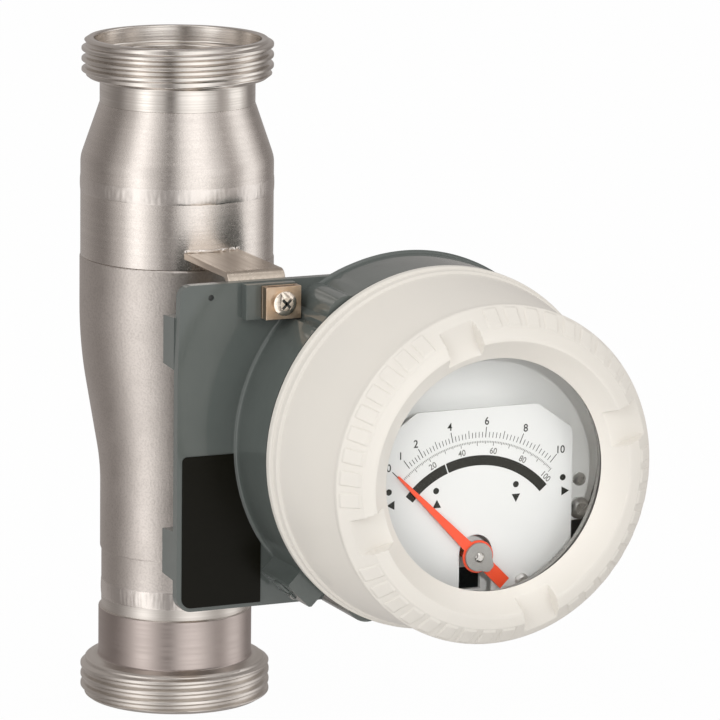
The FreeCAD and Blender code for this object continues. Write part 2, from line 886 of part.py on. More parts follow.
def housing_screws():
    """Socket-head screws from behind, through the drum bosses into the bell."""
    seat = -plate_thickness
    tip = bell_back + bell_boss_length - bell_boss_end - blind_spare
    screws = []
    for x, y in boss_centres(boss_circle):
        back = seat - housing_head_height
        head = turned([(0, back), (housing_head_radius, back, housing_head_break),
                       (housing_head_radius, seat), (0, seat)])
        head.translate(Vector(x, y, 0))
        socket = hexagon(housing_socket_flats, back - overrun, back + housing_socket_depth, x, y)
        screws.append(head.cut(socket).fuse(disc(housing_screw_radius, seat, tip, x, y)))
    return Part.makeCompound(screws)


# ---------------------------------------------------------------- cover and window

def grip_pads():
    """Raised pads on the sloping band, in groups between the spanner notches."""
    run = cover_radius - cover_face_outer
    rise = cover_front - cover_face_drop - cover_edge
    slope = math.degrees(math.atan2(rise, run))
    length = math.hypot(run, rise) - 2 * pad_margin
    pad = block(-length / 2, length / 2, -pad_width / 2, pad_width / 2, -pad_height, pad_height)
    pad.rotate(Vector(0, 0, 0), Vector(0, 1, 0), slope)
    pad.translate(Vector(cover_radius - run / 2, 0, cover_edge + rise / 2))
    pads = []
    for group in range(notch_count):
        middle = notch_angle + (group + 0.5) * 360 / notch_count
        for k in range(pads_per_group):
            pads.append(spun(pad, middle + (k - (pads_per_group - 1) / 2) * pad_pitch))
    return pads


def cover():
    """Screwed cover: threaded skirt, sloping grip band, flat ring and deep window chamfer."""
    skirt = cover_thread_radius - cover_thread_clearance
    skirt_end = bell_front - cover_skirt_length
    seat = window_front - window_lip
    across, up = cover_back_bevel
    bevel = cover_skirt_bevel
    body = turned([(window_radius, seat), (window_radius, window_front),
                   (cover_face_inner, cover_front, cover_inner_break),
                   (cover_face_outer, cover_front - cover_face_drop, cover_outer_break),
                   (cover_radius, cover_edge, cover_edge_break), (cover_radius, cover_back + up),
                   (cover_radius - across, cover_back), (skirt, cover_back),
                   (skirt, skirt_end + bevel), (skirt - bevel, skirt_end),
                   (cover_skirt_radius, skirt_end), (cover_skirt_radius, seat)])
    body = body.fuse(grip_pads())
    for k in range(notch_count):
        notch = block(window_radius - overrun, cover_radius + overrun, -notch_width / 2,
                      notch_width / 2, cover_front - notch_depth, cover_front + overrun)
        body = body.cut(spun(notch, notch_angle + 360 * k / notch_count))
    return body.removeSplitter()


def window_glass():
    radius = cover_skirt_radius - glass_clearance
    return turned([(0, glass_back), (radius, glass_back, glass_break),
                   (radius, glass_front, glass_break), (0, glass_front)])


def glass_gasket_ring():
    return ring(cover_skirt_radius - glass_clearance, window_radius + gasket_overlap, glass_front,
                glass_front + glass_gasket)


def glass_retainer():
    outer = cover_skirt_radius - fit_gap
    low = glass_back - retainer_height
    body = ring(outer, retainer_inner, low, glass_back)
    for angle in (0, 180):
        x, y = polar((outer + retainer_inner) / 2, angle)
        body = body.cut(disc(retainer_pin_hole, low - overrun, low + retainer_pin_depth, x, y))
    return body


def cover_seal():
    top = bell_front + seal_clearance
    bottom = top - seal_height
    outer = seal_inner + seal_width
    return turned([(seal_inner, bottom, seal_bevel), (outer, bottom, seal_bevel),
                   (outer, top, seal_bevel), (seal_inner, top, seal_bevel)])


# ---------------------------------------------------------------- movement and dial

def pillars():
    top = carrier_front - carrier_thickness
    posts = []
    for x, y in pillar_places:
        post = hexagon(2 * pillar_radius, pillar_foot_height, top, x, y)
        hole_end = top - pillar_screw_grip - blind_spare
        posts.append(post.cut(disc(pillar_screw_radius + press_gap, hole_end, top + overrun, x, y)))
    return Part.makeCompound(posts)


def carrier_plate():
    back = carrier_front - carrier_thickness
    body = disc(carrier_radius, back, carrier_front)
    holes = [disc(bearing_radius + fit_gap, back - overrun, carrier_front + overrun, 0, hub_y)]
    for x, y in pillar_places:
        radius = pillar_screw_radius + screw_hole_gap
        holes.append(disc(radius, back - overrun, carrier_front + overrun, x, y))
    for x, y in small_screw_places:
        radius = small_screw_radius + press_gap
        holes.append(disc(radius, back - overrun, carrier_front + overrun, x, y))
    for side in (-1, 1):
        x0, x1, y0, y1 = carrier_window
        lo, hi = sorted((side * x0, side * x1))
        holes.append(block(lo, hi, -y1, -y0, back - overrun, carrier_front + overrun))
    half = dial_slot_radius
    slot_top = hub_y - half
    holes.append(block(-half, half, slot_top - carrier_slot_length, slot_top, back - overrun,
                       carrier_front + overrun))
    return body.cut(Part.makeCompound(holes))


def carrier_screws():
    tip = carrier_front - carrier_thickness - pillar_screw_grip
    screws = [screw(pillar_screw_radius, pillar_screw_head, pillar_screw_head_height, x, y,
                    carrier_front, tip) for x, y in pillar_places]
    return Part.makeCompound(screws)


def stop_screws():
    screws = [screw(small_screw_radius, small_screw_head, small_screw_head_height, x, y,
                    carrier_front, carrier_front - carrier_thickness)
              for x, y in small_screw_places]
    return Part.makeCompound(screws)


def dial_posts():
    top = dial_front - dial_thickness
    posts = []
    for x, y in dial_post_places:
        post = disc(dial_post_radius, carrier_front, top, x, y)
        hole_end = top + dial_thickness - dial_screw_grip - blind_spare
        posts.append(post.cut(disc(small_screw_radius + press_gap, hole_end, top + overrun, x, y)))
    return Part.makeCompound(posts)


def dial_plate():
    back = dial_front - dial_thickness
    half = dial_half_width
    across, down = dial_corner
    blend = dial_corner_blend
    outline = [(-half, -dial_bottom_radius), (half, -dial_bottom_radius),
               (half, dial_top - down, blend), (across, dial_top, blend),
               (-across, dial_top, blend), (-half, dial_top - down, blend)]
    sheet = slab(outline, back, dial_front).common(disc(dial_bottom_radius, back, dial_front))
    slot_y = hub_y + dial_slot_rise
    slot = disc(dial_slot_radius, back - overrun, dial_front + overrun, 0, slot_y)
    slot = slot.fuse(block(-dial_slot_radius, dial_slot_radius, -dial_bottom_radius - overrun, slot_y,
                           back - overrun, dial_front + overrun))
    sheet = sheet.cut(slot)
    for x, y in dial_post_places[:dial_screw_count]:
        hole = disc(small_screw_radius + screw_hole_gap, back - overrun, dial_front + overrun, x, y)
        sheet = sheet.cut(hole)
    return sheet


def dial_screws():
    screws = [screw(small_screw_radius, dial_screw_head, dial_screw_head_height, x, y,
                    dial_front, dial_front - dial_screw_grip)
              for x, y in dial_post_places[:dial_screw_count]]
    return Part.makeCompound(screws)


def bearing(bottom, top):
    body = ring(bearing_radius, shaft_radius + bearing_clearance, bottom, top)
    return body.translated(Vector(0, hub_y, 0))


def pointer_shaft():
    return disc(shaft_radius, shaft_back, pointer_front + shaft_step, 0, hub_y)


def follower_magnet():
    top = follower_back + follower_height
    body = ring(follower_radius, shaft_radius + fit_gap, follower_back, top)
    return body.translated(Vector(0, hub_y, 0))


def pointer():
    """Tapered needle with a ring round the hub and a square-ended tail, built pointing up."""
    half_tip = pointer_tip_width / 2
    half_root = pointer_root_width / 2
    half_tail = pointer_tail_width / 2
    needle = slab([(-half_root, 0), (half_root, 0), (half_tip, pointer_length, pointer_tip_break),
                   (-half_tip, pointer_length, pointer_tip_break)], pointer_back, pointer_front)
    tail = slab([(-half_tail, -pointer_tail), (half_tail, -pointer_tail), (half_tail, 0),
                 (-half_tail, 0)], pointer_back, pointer_front)
    hub = disc(pointer_ring, pointer_back, pointer_front)
    hand = needle.fuse(tail).fuse(hub)
    hand = hand.cut(disc(shaft_radius + fit_gap, pointer_back - overrun, pointer_front + overrun))
    return spun(hand.removeSplitter(), pointer_zero_angle).translated(Vector(0, hub_y, 0))


def pointer_hub():
    """Grey clamping disc on the needle, drawn out towards the tail."""
    top = pointer_front + hub_disc_height
    end = -hub_disc_radius - hub_nose_length
    across, down = (hub_disc_radius * share for share in hub_nose_root)
    nose = slab([(-hub_nose_half, end, hub_nose_break), (hub_nose_half, end, hub_nose_break),
                 (across, -down), (-across, -down)], pointer_front, top)
    body = disc(hub_disc_radius, pointer_front, top).fuse(nose).removeSplitter()
    shaft_end = pointer_front + shaft_step + fit_gap
    body = body.cut(disc(shaft_radius + fit_gap, pointer_front - overrun, shaft_end))
    return spun(body, pointer_zero_angle).translated(Vector(0, hub_y, 0))


def hub_screw():
    seat = pointer_front + hub_disc_height
    radius = hub_screw_radius
    height = hub_screw_height
    head = turned([(0, 0), (radius, 0), (radius, height * hub_screw_rim),
                   (radius * hub_screw_crown, height), (0, height)])
    head = head.cut(block(-radius, radius, -hub_slot / 2, hub_slot / 2, height - hub_slot_depth,
                          height + overrun))
    return spun(head, hub_slot_angle).translated(Vector(0, hub_y, seat))


def write_indicator():
    pieces = {
        "housing_base": housing_base(), "blanking_plug": blanking_plug(), "name_plate": name_plate(),
        "earth_clamp": earth_clamp(), "earth_saddle": earth_saddle(), "earth_screw": earth_screw(),
        "housing_gasket": housing_gasket(), "bell": bell(), "housing_screws": housing_screws(),
        "cover": cover(), "window_glass": window_glass(), "glass_gasket": glass_gasket_ring(),
        "glass_retainer": glass_retainer(), "cover_seal": cover_seal(),
        "movement_pillars": pillars(), "carrier_plate": carrier_plate(),
        "carrier_screws": carrier_screws(), "stop_screws": stop_screws(), "dial_posts": dial_posts(),
        "dial_plate": dial_plate(), "dial_screws": dial_screws(),
        "rear_bearing": bearing(shaft_back - shaft_step, bearing_height),
        "front_bearing": bearing(carrier_front - carrier_thickness,
                                 carrier_front + front_bearing_rise),
        "pointer_shaft": pointer_shaft(), "follower_magnet": follower_magnet(),
        "pointer": pointer(), "pointer_hub": pointer_hub(), "hub_screw": hub_screw(),
    }
    for name, shape in pieces.items():
        save(name, at_indicator(shape))


def write_pipe_run():
    high_guide = overall_height - guide_inset
    low_groove = guide_inset - guide_height / 2 - snap_ring_height
    save("inlet_coupling", inlet_coupling())
    save("inlet_pipe", inlet_pipe())
    save("measuring_tube", measuring_tube())
    save("outlet_body", outlet_body())
    save("outlet_reducer", outlet_reducer())
    save("outlet_coupling", outlet_coupling())
    save("lower_guide", guide(guide_inset))
    save("upper_guide", guide(high_guide))
    save("lower_snap_ring", snap_ring(low_groove))
    save("upper_snap_ring", snap_ring(overall_height - low_groove - snap_ring_height))
    save("guide_rod", guide_rod())
    save("rod_nuts", rod_nuts())
    save("lower_stop", float_stop(float_bottom_z - stop_gap - stop_height))
    save("upper_stop", float_stop(float_top_z + float_travel + stop_gap))
    save("float", float_body())
    save("float_magnet", float_magnet())
    save("float_plug", float_plug())


def write_brackets():
    save("upper_bracket", bracket(upper_bracket_top, -1))
    save("lower_bracket", bracket(lower_bracket_bottom, 1))
    save("bracket_screws", bracket_screws())


def main():
    os.makedirs("parts", exist_ok=True)
    write_pipe_run()
    write_brackets()
    write_indicator()


main()
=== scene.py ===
import json
import math

import bpy
import bmesh
from mathutils import Matrix, Vector, noise


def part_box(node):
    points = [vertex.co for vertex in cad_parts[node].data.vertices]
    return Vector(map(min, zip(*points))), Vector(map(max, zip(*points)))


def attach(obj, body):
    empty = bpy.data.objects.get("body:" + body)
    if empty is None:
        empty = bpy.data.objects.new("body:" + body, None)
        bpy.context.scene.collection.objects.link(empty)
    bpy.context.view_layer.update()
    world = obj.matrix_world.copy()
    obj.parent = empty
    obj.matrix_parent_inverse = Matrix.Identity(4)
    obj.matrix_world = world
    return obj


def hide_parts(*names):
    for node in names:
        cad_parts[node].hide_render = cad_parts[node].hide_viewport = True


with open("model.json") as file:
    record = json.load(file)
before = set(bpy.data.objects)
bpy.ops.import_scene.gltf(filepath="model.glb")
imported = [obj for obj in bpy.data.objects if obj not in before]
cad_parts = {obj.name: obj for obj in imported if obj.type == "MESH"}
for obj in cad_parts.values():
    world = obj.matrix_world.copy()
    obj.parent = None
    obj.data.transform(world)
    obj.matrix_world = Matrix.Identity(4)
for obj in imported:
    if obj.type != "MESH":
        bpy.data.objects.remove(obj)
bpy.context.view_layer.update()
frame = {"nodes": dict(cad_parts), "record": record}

MM = 0.001
TURN = 2 * math.pi

# ---------------------------------------------------------------- places, read from the frame


def box_mm(node):
    """Lowest and highest corner of a node, in millimetres."""
    low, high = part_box(node)
    return low / MM, high / MM


PIPE_LOW = box_mm("inlet_coupling")[0].z
PIPE_HIGH = box_mm("outlet_coupling")[1].z
COVER_LOW, COVER_HIGH = box_mm("cover")
PLATE_FRONT = 87.0
AXIS_X = (COVER_LOW.x + COVER_HIGH.x) / 2
AXIS_Z = (COVER_LOW.z + COVER_HIGH.z) / 2
HUB = (box_mm("pointer_shaft")[0] + box_mm("pointer_shaft")[1]) / 2
DIAL_W = -PLATE_FRONT - box_mm("dial_plate")[0].y

# pipe axes are the frame's own; indicator axes are x right, y up, w towards the reader
PIPE = Matrix.Scale(MM, 4)
INDICATOR = Matrix.Scale(MM, 4) @ Matrix((
    (1, 0, 0, AXIS_X), (0, 0, -1, -PLATE_FRONT), (0, 1, 0, AXIS_Z), (0, 0, 0, 1)))
DIAL = INDICATOR @ Matrix.Translation((HUB.x - AXIS_X, HUB.z - AXIS_Z, DIAL_W))


# ---------------------------------------------------------------- mesh helpers

SHARP_EDGE = math.radians(40)


def piece(name, points, faces, place, body, material, node=None, smooth=True):
    """Mesh object from points in millimetres, set in the frame and tied to its body."""
    mesh = bpy.data.meshes.new(name)
    mesh.from_pydata([place @ Vector(p) for p in points], [], faces)
    mesh.validate()
    made = bpy.data.objects.new(name, mesh)
    bpy.context.scene.collection.objects.link(made)
    finish_mesh(made.data, smooth)
    made.data.materials.append(material)
    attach(made, body)
    if node:
        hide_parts(node)


def bends_over(edge, angle):
    return len(edge.link_faces) == 2 and edge.calc_face_angle(0) > angle


def finish_mesh(mesh, smooth):
    """Outward normals, smooth shading and sharp edges where the surface turns."""
    work = bmesh.new()
    work.from_mesh(mesh)
    bmesh.ops.recalc_face_normals(work, faces=work.faces)
    for edge in work.edges:
        edge.smooth = not bends_over(edge, SHARP_EDGE)
    for face in work.faces:
        face.smooth = smooth
    work.to_mesh(mesh)
    work.free()


def rounded(corners, steps=4):
    """Points of an outline given as (radius, height, blend) corners, with blends as arcs."""
    points = []
    count = len(corners)
    for i, corner in enumerate(corners):
        spot = Vector(corner[:2])
        blend = corner[2] if len(corner) > 2 else 0
        if not blend or i in (0, count - 1):
            points.append(tuple(spot))
            continue
        before = (Vector(corners[i - 1][:2]) - spot).normalized()
        after = (Vector(corners[(i + 1) % count][:2]) - spot).normalized()
        half = before.angle(after) / 2
        centre = spot + (before + after).normalized() * (blend / math.sin(half))
        start = spot + before * (blend / math.tan(half)) - centre
        end = spot + after * (blend / math.tan(half)) - centre
        sweep = start.angle_signed(end)
        for k in range(steps + 1):
            turned = start.copy()
            turned.rotate(Matrix.Rotation(-sweep * k / steps, 2))
            points.append(tuple(centre + turned))
    return points


def grid_faces(rows, columns, wrap_rows=False):
    """Quads of a grid whose columns go once round; rows join end to end if wrap_rows."""
    faces = []
    for i in range(rows if wrap_rows else rows - 1):
        for j in range(columns):
            a, b = i * columns, ((i + 1) % rows) * columns
            k = (j + 1) % columns
            faces.append((a + j, a + k, b + k, b + j))
    return faces


def lathe(name, corners, place, body, material, node=None, turns=160, steps=4, closed=True):
    """Turned piece about the local Z axis; closed joins the outline's ends into a solid."""
    outline = rounded(corners + corners[:1], steps)[:-1] if closed else rounded(corners, steps)
    points = []
    for r, h in outline:
        for j in range(turns):
            angle = TURN * j / turns
            points.append((r * math.cos(angle), r * math.sin(angle), h))
    piece(name, points, grid_faces(len(outline), turns, closed), place, body, material, node)


# ---------------------------------------------------------------- materials


class Surface:
    """Small builder for one node material around a Principled shader."""

    def __init__(self, name, colour, roughness, metallic=0.0, **sockets):
        self.material = bpy.data.materials.new(name)
        self.material.use_nodes = True
        self.tree = self.material.node_tree
        self.shader = self.tree.nodes["Principled BSDF"]
        self.colour = colour
        self.shader.inputs["Base Color"].default_value = (*colour, 1)
        self.shader.inputs["Roughness"].default_value = roughness
        self.shader.inputs["Metallic"].default_value = metallic
        for key, value in sockets.items():
            self.shader.inputs[key.replace("_", " ")].default_value = value
        self.height = None

    def node(self, kind, **values):
        """New node; in_ values go to its sockets and the others are its own settings."""
        made = self.tree.nodes.new(kind)
        for key, value in values.items():
            if key.startswith("in_"):
                made.inputs[key[3:].replace("_", " ")].default_value = value
            else:
                setattr(made, key, value)
        return made

    def link(self, start, end):
        self.tree.links.new(start, end)

    def place(self, scale=(1, 1, 1)):
        """Object coordinates, stretched by scale."""
        where = self.node("ShaderNodeTexCoord")
        stretch = self.node("ShaderNodeMapping")
        stretch.inputs["Scale"].default_value = scale
        self.link(where.outputs["Object"], stretch.inputs["Vector"])
        return stretch.outputs["Vector"]

    def noise(self, scale, detail, stretch=(1, 1, 1)):
        made = self.node("ShaderNodeTexNoise", in_Scale=scale, in_Detail=detail, in_Roughness=0.55)
        self.link(self.place(stretch), made.inputs["Vector"])
        return made.outputs["Fac"]

    def distance_from_height(self, height):
        """Metres above or below a height on the part."""
        where = self.node("ShaderNodeTexCoord")
        parts = self.node("ShaderNodeSeparateXYZ")
        self.link(where.outputs["Object"], parts.inputs["Vector"])
        above = self.node("ShaderNodeMath", operation="SUBTRACT")
        above.inputs[1].default_value = height
        self.link(parts.outputs["Z"], above.inputs[0])
        made = self.node("ShaderNodeMath", operation="ABSOLUTE")
        self.link(above.outputs["Value"], made.inputs[0])
        return made.outputs["Value"]

    def ranged(self, value, low, high, new_low, new_high):
        made = self.node("ShaderNodeMapRange")
        for key, number in zip(("From Min", "From Max", "To Min", "To Max"),
                               (low, high, new_low, new_high)):
            made.inputs[key].default_value = number
        self.link(value, made.inputs["Value"])
        return made.outputs["Result"]

    def tint(self, value, other, low=0.35, high=0.65, most=1.0):
        """Mixes another colour in where value is high."""
        mix = self.node("ShaderNodeMix", data_type="RGBA")
        self.link(self.ranged(value, low, high, 0, most), mix.inputs["Factor"])
        source = self.shader.inputs["Base Color"]
        if source.is_linked:
            self.link(source.links[0].from_socket, mix.inputs[6])
        else:
            mix.inputs[6].default_value = (*self.colour, 1)
        mix.inputs[7].default_value = (*other, 1)
        self.link(mix.outputs[2], source)
        return self

    def vary_roughness(self, value, low, high):
        self.link(self.ranged(value, 0.3, 0.7, low, high), self.shader.inputs["Roughness"])
        return self

    def bump(self, value, distance, strength=1.0):
        """Adds a bump of the given depth in metres."""
        made = self.node("ShaderNodeBump", in_Distance=distance, in_Strength=strength)
        self.link(value, made.inputs["Height"])
        if self.height is not None:
            self.link(self.height, made.inputs["Normal"])
        self.height = made.outputs["Normal"]
        self.link(self.height, self.shader.inputs["Normal"])
        return self


def blasted_steel():
    """Bead-blasted pipe: a fine grain and wide soft blotches."""
    made = Surface("blasted_steel", (0.60, 0.555, 0.52), 0.36, 1.0)
    grain = made.noise(1300, 4)
    made.tint(made.noise(38, 3), (0.66, 0.61, 0.575), most=0.8)
    made.tint(grain, (0.50, 0.46, 0.43), 0.45, 0.62, 0.6)
    made.vary_roughness(made.noise(60, 3), 0.33, 0.42)
    return made.bump(grain, 0.00010).material


def spun_steel():
    """Formed reducer and body: satin, with fine rings round the axis."""
    made = Surface("spun_steel", (0.70, 0.65, 0.61), 0.26, 1.0)
    rings = made.noise(900, 3, (0.02, 0.02, 1))
    made.tint(rings, (0.62, 0.575, 0.54), most=0.7)
    made.tint(made.noise(1400, 3), (0.57, 0.53, 0.50), 0.45, 0.62, 0.45)
    made.vary_roughness(made.noise(420, 4, (1, 1, 2)), 0.23, 0.29)
    made.bump(rings, 0.000012)
    return made.bump(made.noise(1500, 2), 0.00002).material


# the stretch of the lower union between its thread and its shoulder is dull; metres up the pipe
NECK_MIDDLE, NECK_HALF, NECK_EDGE = 0.02715, 0.0104, 0.0003
DULL_STEEL = (0.465, 0.405, 0.38)


def turned_steel(name, low, high, dull_neck=False):
    """Machined union: bright, with tool lines round the axis; low and high bound the roughness."""
    made = Surface(name, (0.70, 0.66, 0.62), low, 1.0)
    rings = made.noise(1500, 2, (0.01, 0.01, 1))
    made.tint(rings, (0.60, 0.56, 0.52), most=0.8)
    if dull_neck:
        away = made.distance_from_height(NECK_MIDDLE)
        made.tint(away, DULL_STEEL, NECK_HALF, NECK_HALF - NECK_EDGE)
    made.vary_roughness(rings, low, high)
    return made.bump(rings, 0.00003).material


def weld_steel():
    made = Surface("weld_steel", (0.70, 0.655, 0.62), 0.27, 1.0)
    made.tint(made.noise(120, 3), (0.58, 0.53, 0.49), 0.5, 0.75, 0.6)
    return made.bump(made.noise(300, 1), 0.00006).material


def sheet_steel():
    made = Surface("sheet_steel", (0.63, 0.555, 0.475), 0.30, 1.0)
    grain = made.noise(700, 3, (1, 0.06, 1))
    made.tint(grain, (0.52, 0.45, 0.38), most=0.7)
    made.vary_roughness(grain, 0.26, 0.38)
    return made.bump(grain, 0.00003).material


def bright_steel(name, colour, roughness):
    """Plain bright small parts, each kind with its own colour and roughness."""
    made = Surface(name, colour, roughness, 1.0)
    scratches = made.noise(800, 3)
    made.tint(scratches, tuple(0.8 * c for c in colour), 0.5, 0.75, 0.6)
    return made.bump(scratches, 0.00003).material


def tin_plate():
    made = Surface("tin_plate", (0.60, 0.43, 0.29), 0.28, 1.0)
    made.tint(made.noise(220, 3), (0.68, 0.54, 0.42), most=0.8)
    return made.bump(made.noise(1500, 2), 0.00004).material


def dark_paint():
    """Grey gloss paint over cast alloy, with a faint orange peel."""
    made = Surface("dark_paint", (0.098, 0.113, 0.106), 0.45, 0.0, Coat_Weight=0.9,
                   Coat_Roughness=0.06, Specular_IOR_Level=0.2)
    made.tint(made.noise(35, 3), (0.115, 0.130, 0.122), most=0.7)
    made.vary_roughness(made.noise(90, 3), 0.40, 0.50)
    made.bump(made.noise(420, 2), 0.00005, 0.6)
    return made.bump(made.noise(1700, 2), 0.00003).material


def cream_paint():
    """Cream powder coat of the bell and its cover."""
    made = Surface("cream_paint", (0.800, 0.762, 0.700), 0.33, 0.0, Coat_Weight=0.25,
                   Coat_Roughness=0.16)
    made.tint(made.noise(30, 3), (0.780, 0.745, 0.690), most=0.7)
    made.vary_roughness(made.noise(80, 3), 0.30, 0.38)
    made.bump(made.noise(380, 2), 0.00008, 0.6)
    return made.bump(made.noise(1500, 2), 0.00003).material


def black_label():
    made = Surface("black_label", (0.005, 0.0045, 0.002), 0.30, 0.0, Specular_IOR_Level=0.12)
    return made.bump(made.noise(160, 2), 0.00002).material


def rubber():
    made = Surface("rubber", (0.028, 0.027, 0.026), 0.62)
    return made.bump(made.noise(1300, 3), 0.00006).material


def dial_white():
    made = Surface("dial_white", (0.735, 0.74, 0.725), 0.38)
    made.tint(made.noise(60, 2), (0.72, 0.725, 0.71), most=0.6)
    return made.bump(made.noise(1200, 2), 0.00002).material


def printed(name, colour):
    """Ink of the dial."""
    made = Surface(name, colour, 0.48)
    made.tint(made.noise(900, 2), tuple(1.6 * c for c in colour), most=0.6)
    return made.material


def orange_lacquer():
    made = Surface("orange_lacquer", (0.86, 0.085, 0.028), 0.34, 0.0, Coat_Weight=0.2)
    made.tint(made.noise(140, 2), (0.82, 0.075, 0.025), most=0.6)
    return made.bump(made.noise(1300, 2), 0.00002).material


# grey plastic of the pointer hub; the glass retainer wears it too, as painted shade darker than its
# own white so that it blends into the shaded carrier at the window's rim
def grey_plastic():
    made = Surface("grey_plastic", (0.33, 0.32, 0.30), 0.42)
    made.tint(made.noise(300, 3), (0.28, 0.27, 0.255), most=0.7)
    return made.bump(made.noise(1500, 2), 0.00004).material


def white_sheet():
    """Carrier plate behind the dial: white lacquered sheet."""
    made = Surface("white_sheet", (0.91, 0.915, 0.895), 0.36)
    made.tint(made.noise(80, 2), (0.88, 0.89, 0.87), most=0.7)
    return made.bump(made.noise(1000, 2), 0.00003).material


# dark metal of the magnets; the same dark sheet is laid as painted shade in the screw recess and the
# spare hole
def dark_metal():
    made = Surface("dark_metal", (0.075, 0.078, 0.076), 0.5, 0.6)
    return made.bump(made.noise(900, 3), 0.00005).material


def brass():
    made = Surface("brass", (0.72, 0.52, 0.24), 0.25, 1.0)
    return made.bump(made.noise(900, 2, (1, 0.05, 1)), 0.00003).material


def window_pane():
    """Clear flat glass, thin enough to leave the dial where it is."""
    return Surface("window_pane", (0.10, 0.12, 0.11), 0.04, 0.0, Alpha=0.012).material


LOOK = {
    "blasted": blasted_steel(),
    "spun": spun_steel(),
    "turned": turned_steel("turned_steel", 0.16, 0.27),
    "satin": turned_steel("satin_steel", 0.30, 0.40, True),
    "weld": weld_steel(),
    "sheet": sheet_steel(),
    "bright": bright_steel("bright_steel", (0.72, 0.70, 0.67), 0.18),
    "earth": bright_steel("warm_steel", (0.74, 0.66, 0.57), 0.13),
    "screw": bright_steel("screw_steel", (0.82, 0.81, 0.79), 0.42),
    "float": bright_steel("float_steel", (0.66, 0.64, 0.61), 0.24),
    "tin": tin_plate(),
    "dark": dark_paint(),
    "cream": cream_paint(),
    "label": black_label(),
    "rubber": rubber(),
    "dial": dial_white(),
    "print": printed("printed_black", (0.010, 0.0095, 0.006)),
    "faint": printed("printed_grey", (0.14, 0.138, 0.125)),
    "orange": orange_lacquer(),
    "grey": grey_plastic(),
    "white": white_sheet(),
    # dark metal of the magnets, also used as painted shade on recess floors
    "dark_and_painted_shade": dark_metal(),
    "brass": brass(),
    "glass": window_pane(),
}

# looks of the CAD's own nodes
CARRIED = {
    "bright": ("lower_guide", "upper_guide", "lower_snap_ring", "upper_snap_ring", "guide_rod",
               "rod_nuts", "lower_stop", "upper_stop", "bracket_screws", "housing_screws",
               "pointer_shaft", "hub_screw"),
    "earth": ("earth_screw",),
    "screw": ("movement_pillars", "carrier_screws", "stop_screws", "dial_screws", "dial_posts"),
    "float": ("float", "float_plug"),
    "sheet": ("upper_bracket", "lower_bracket"),
    "tin": ("earth_clamp", "earth_saddle"),
    "dark": ("housing_base", "blanking_plug"),
    "label": ("name_plate",),
    "rubber": ("housing_gasket", "glass_gasket", "cover_seal"),
    "white": ("carrier_plate",),
    "dial": ("dial_plate",),
    "brass": ("rear_bearing", "front_bearing"),
    "dark_and_painted_shade": ("float_magnet", "follower_magnet"),
    "orange": ("pointer",),
    # the glass retainer takes this grey as painted shade in place of its white
    "grey": ("pointer_hub", "glass_retainer"),
    "glass": ("window_glass",),
    "spun": ("outlet_body", "outlet_reducer"),
    "blasted": ("measuring_tube", "inlet_pipe"),
    "turned": ("inlet_coupling", "outlet_coupling"),
    "cream": ("bell", "cover"),
}


def paint_carried_nodes():
    for key, names in CARRIED.items():
        for name in names:
            node = frame["nodes"][name]
            node.data.materials.clear()
            node.data.materials.append(LOOK[key])


paint_carried_nodes()


# ---------------------------------------------------------------- softened CAD pieces

# what counts as one point, as flat, as an edge to break and as an edge that stays sharp
SAME_POINT = 0.002 * MM
FLAT_ANGLE, BROKEN_ANGLE, CREASE_ANGLE = math.radians(1), math.radians(28), math.radians(50)


def break_edges(mesh, width, segments):
    """Rounds the sharp edges of a mesh by width millimetres, in segments."""
    work = bmesh.new()
    work.from_mesh(mesh)
    bmesh.ops.remove_doubles(work, verts=work.verts, dist=SAME_POINT)
    bmesh.ops.dissolve_limit(work, angle_limit=FLAT_ANGLE, verts=work.verts, edges=work.edges)
    bmesh.ops.recalc_face_normals(work, faces=work.faces)
    sharp = [edge for edge in work.edges if bends_over(edge, BROKEN_ANGLE)]
    bmesh.ops.bevel(work, geom=sharp, offset=width * MM, segments=segments, profile=0.5,
                    affect="EDGES", clamp_overlap=True, offset_type="OFFSET")
    for edge in work.edges:
        edge.smooth = not bends_over(edge, CREASE_ANGLE)
    for face in work.faces:
        face.smooth = True
    work.to_mesh(mesh)
    work.free()


def dressed(node, width, segments):
    """The CAD node's own mesh and look with its sharp edges broken, standing in for it."""
    source = frame["nodes"][node]
    mesh = source.data.copy()
    made = bpy.data.objects.new(node + "_dressed", mesh)
    bpy.context.scene.collection.objects.link(made)
    made.matrix_world = source.matrix_world.copy()
    break_edges(mesh, width, segments)
    if mesh.has_custom_normals:
        clear_normals(made)
    weighted = made.modifiers.new("weighted", "WEIGHTED_NORMAL")
    weighted.keep_sharp = True
    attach(made, body_of(node))
    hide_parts(node)


def clear_normals(made):
    bpy.context.view_layer.objects.active = made
    made.select_set(True)
    bpy.ops.mesh.customdata_custom_splitnormals_clear()
    made.select_set(False)


def body_of(node):
    bodies = frame["record"]["behaviour"]["bodies"]
    return next(body for body, names in bodies.items() if node in names)


# ---------------------------------------------------------------- pipe run

# unions, as radii and as heights from the face
BORE = 27.0
NECK = 31.6
FACE_RADIUS = 36.3
RECESS_RADIUS, RECESS_DEPTH = 34.0, 7.0
UNION_LENGTH, SHOULDER = 16.9, 37.5
THREAD_PITCH, FIRST_CREST = 25.4 / 6, 2.2
THREAD_CREST, THREAD_ROOT = 38.98, 37.1
THREAD_START, THREAD_END = 0.7, 15.4
THREAD_RUN_OUT = (0.9, 0.7)
THREAD_FULLNESS = (0.06, 0.94)
FADE_IN, FADE_OUT = (0.3, 1.2), 1.4
UNION_TURNS, THREAD_STEPS = 216, 84

# tapered tube, body and reducer: blends are those of the outside and then of the inside
WALL = 2.8
TUBE_BOTTOM = 31.0
TAPER_SHARES = (0.2829, 0.6965)
TAPER_LOW_BLENDS, TAPER_HIGH_BLENDS = (95, 98), (190, 187)
CONE_LENGTH, CONE_BLEND = 22.4, 14
PIPE_TURNS = 200

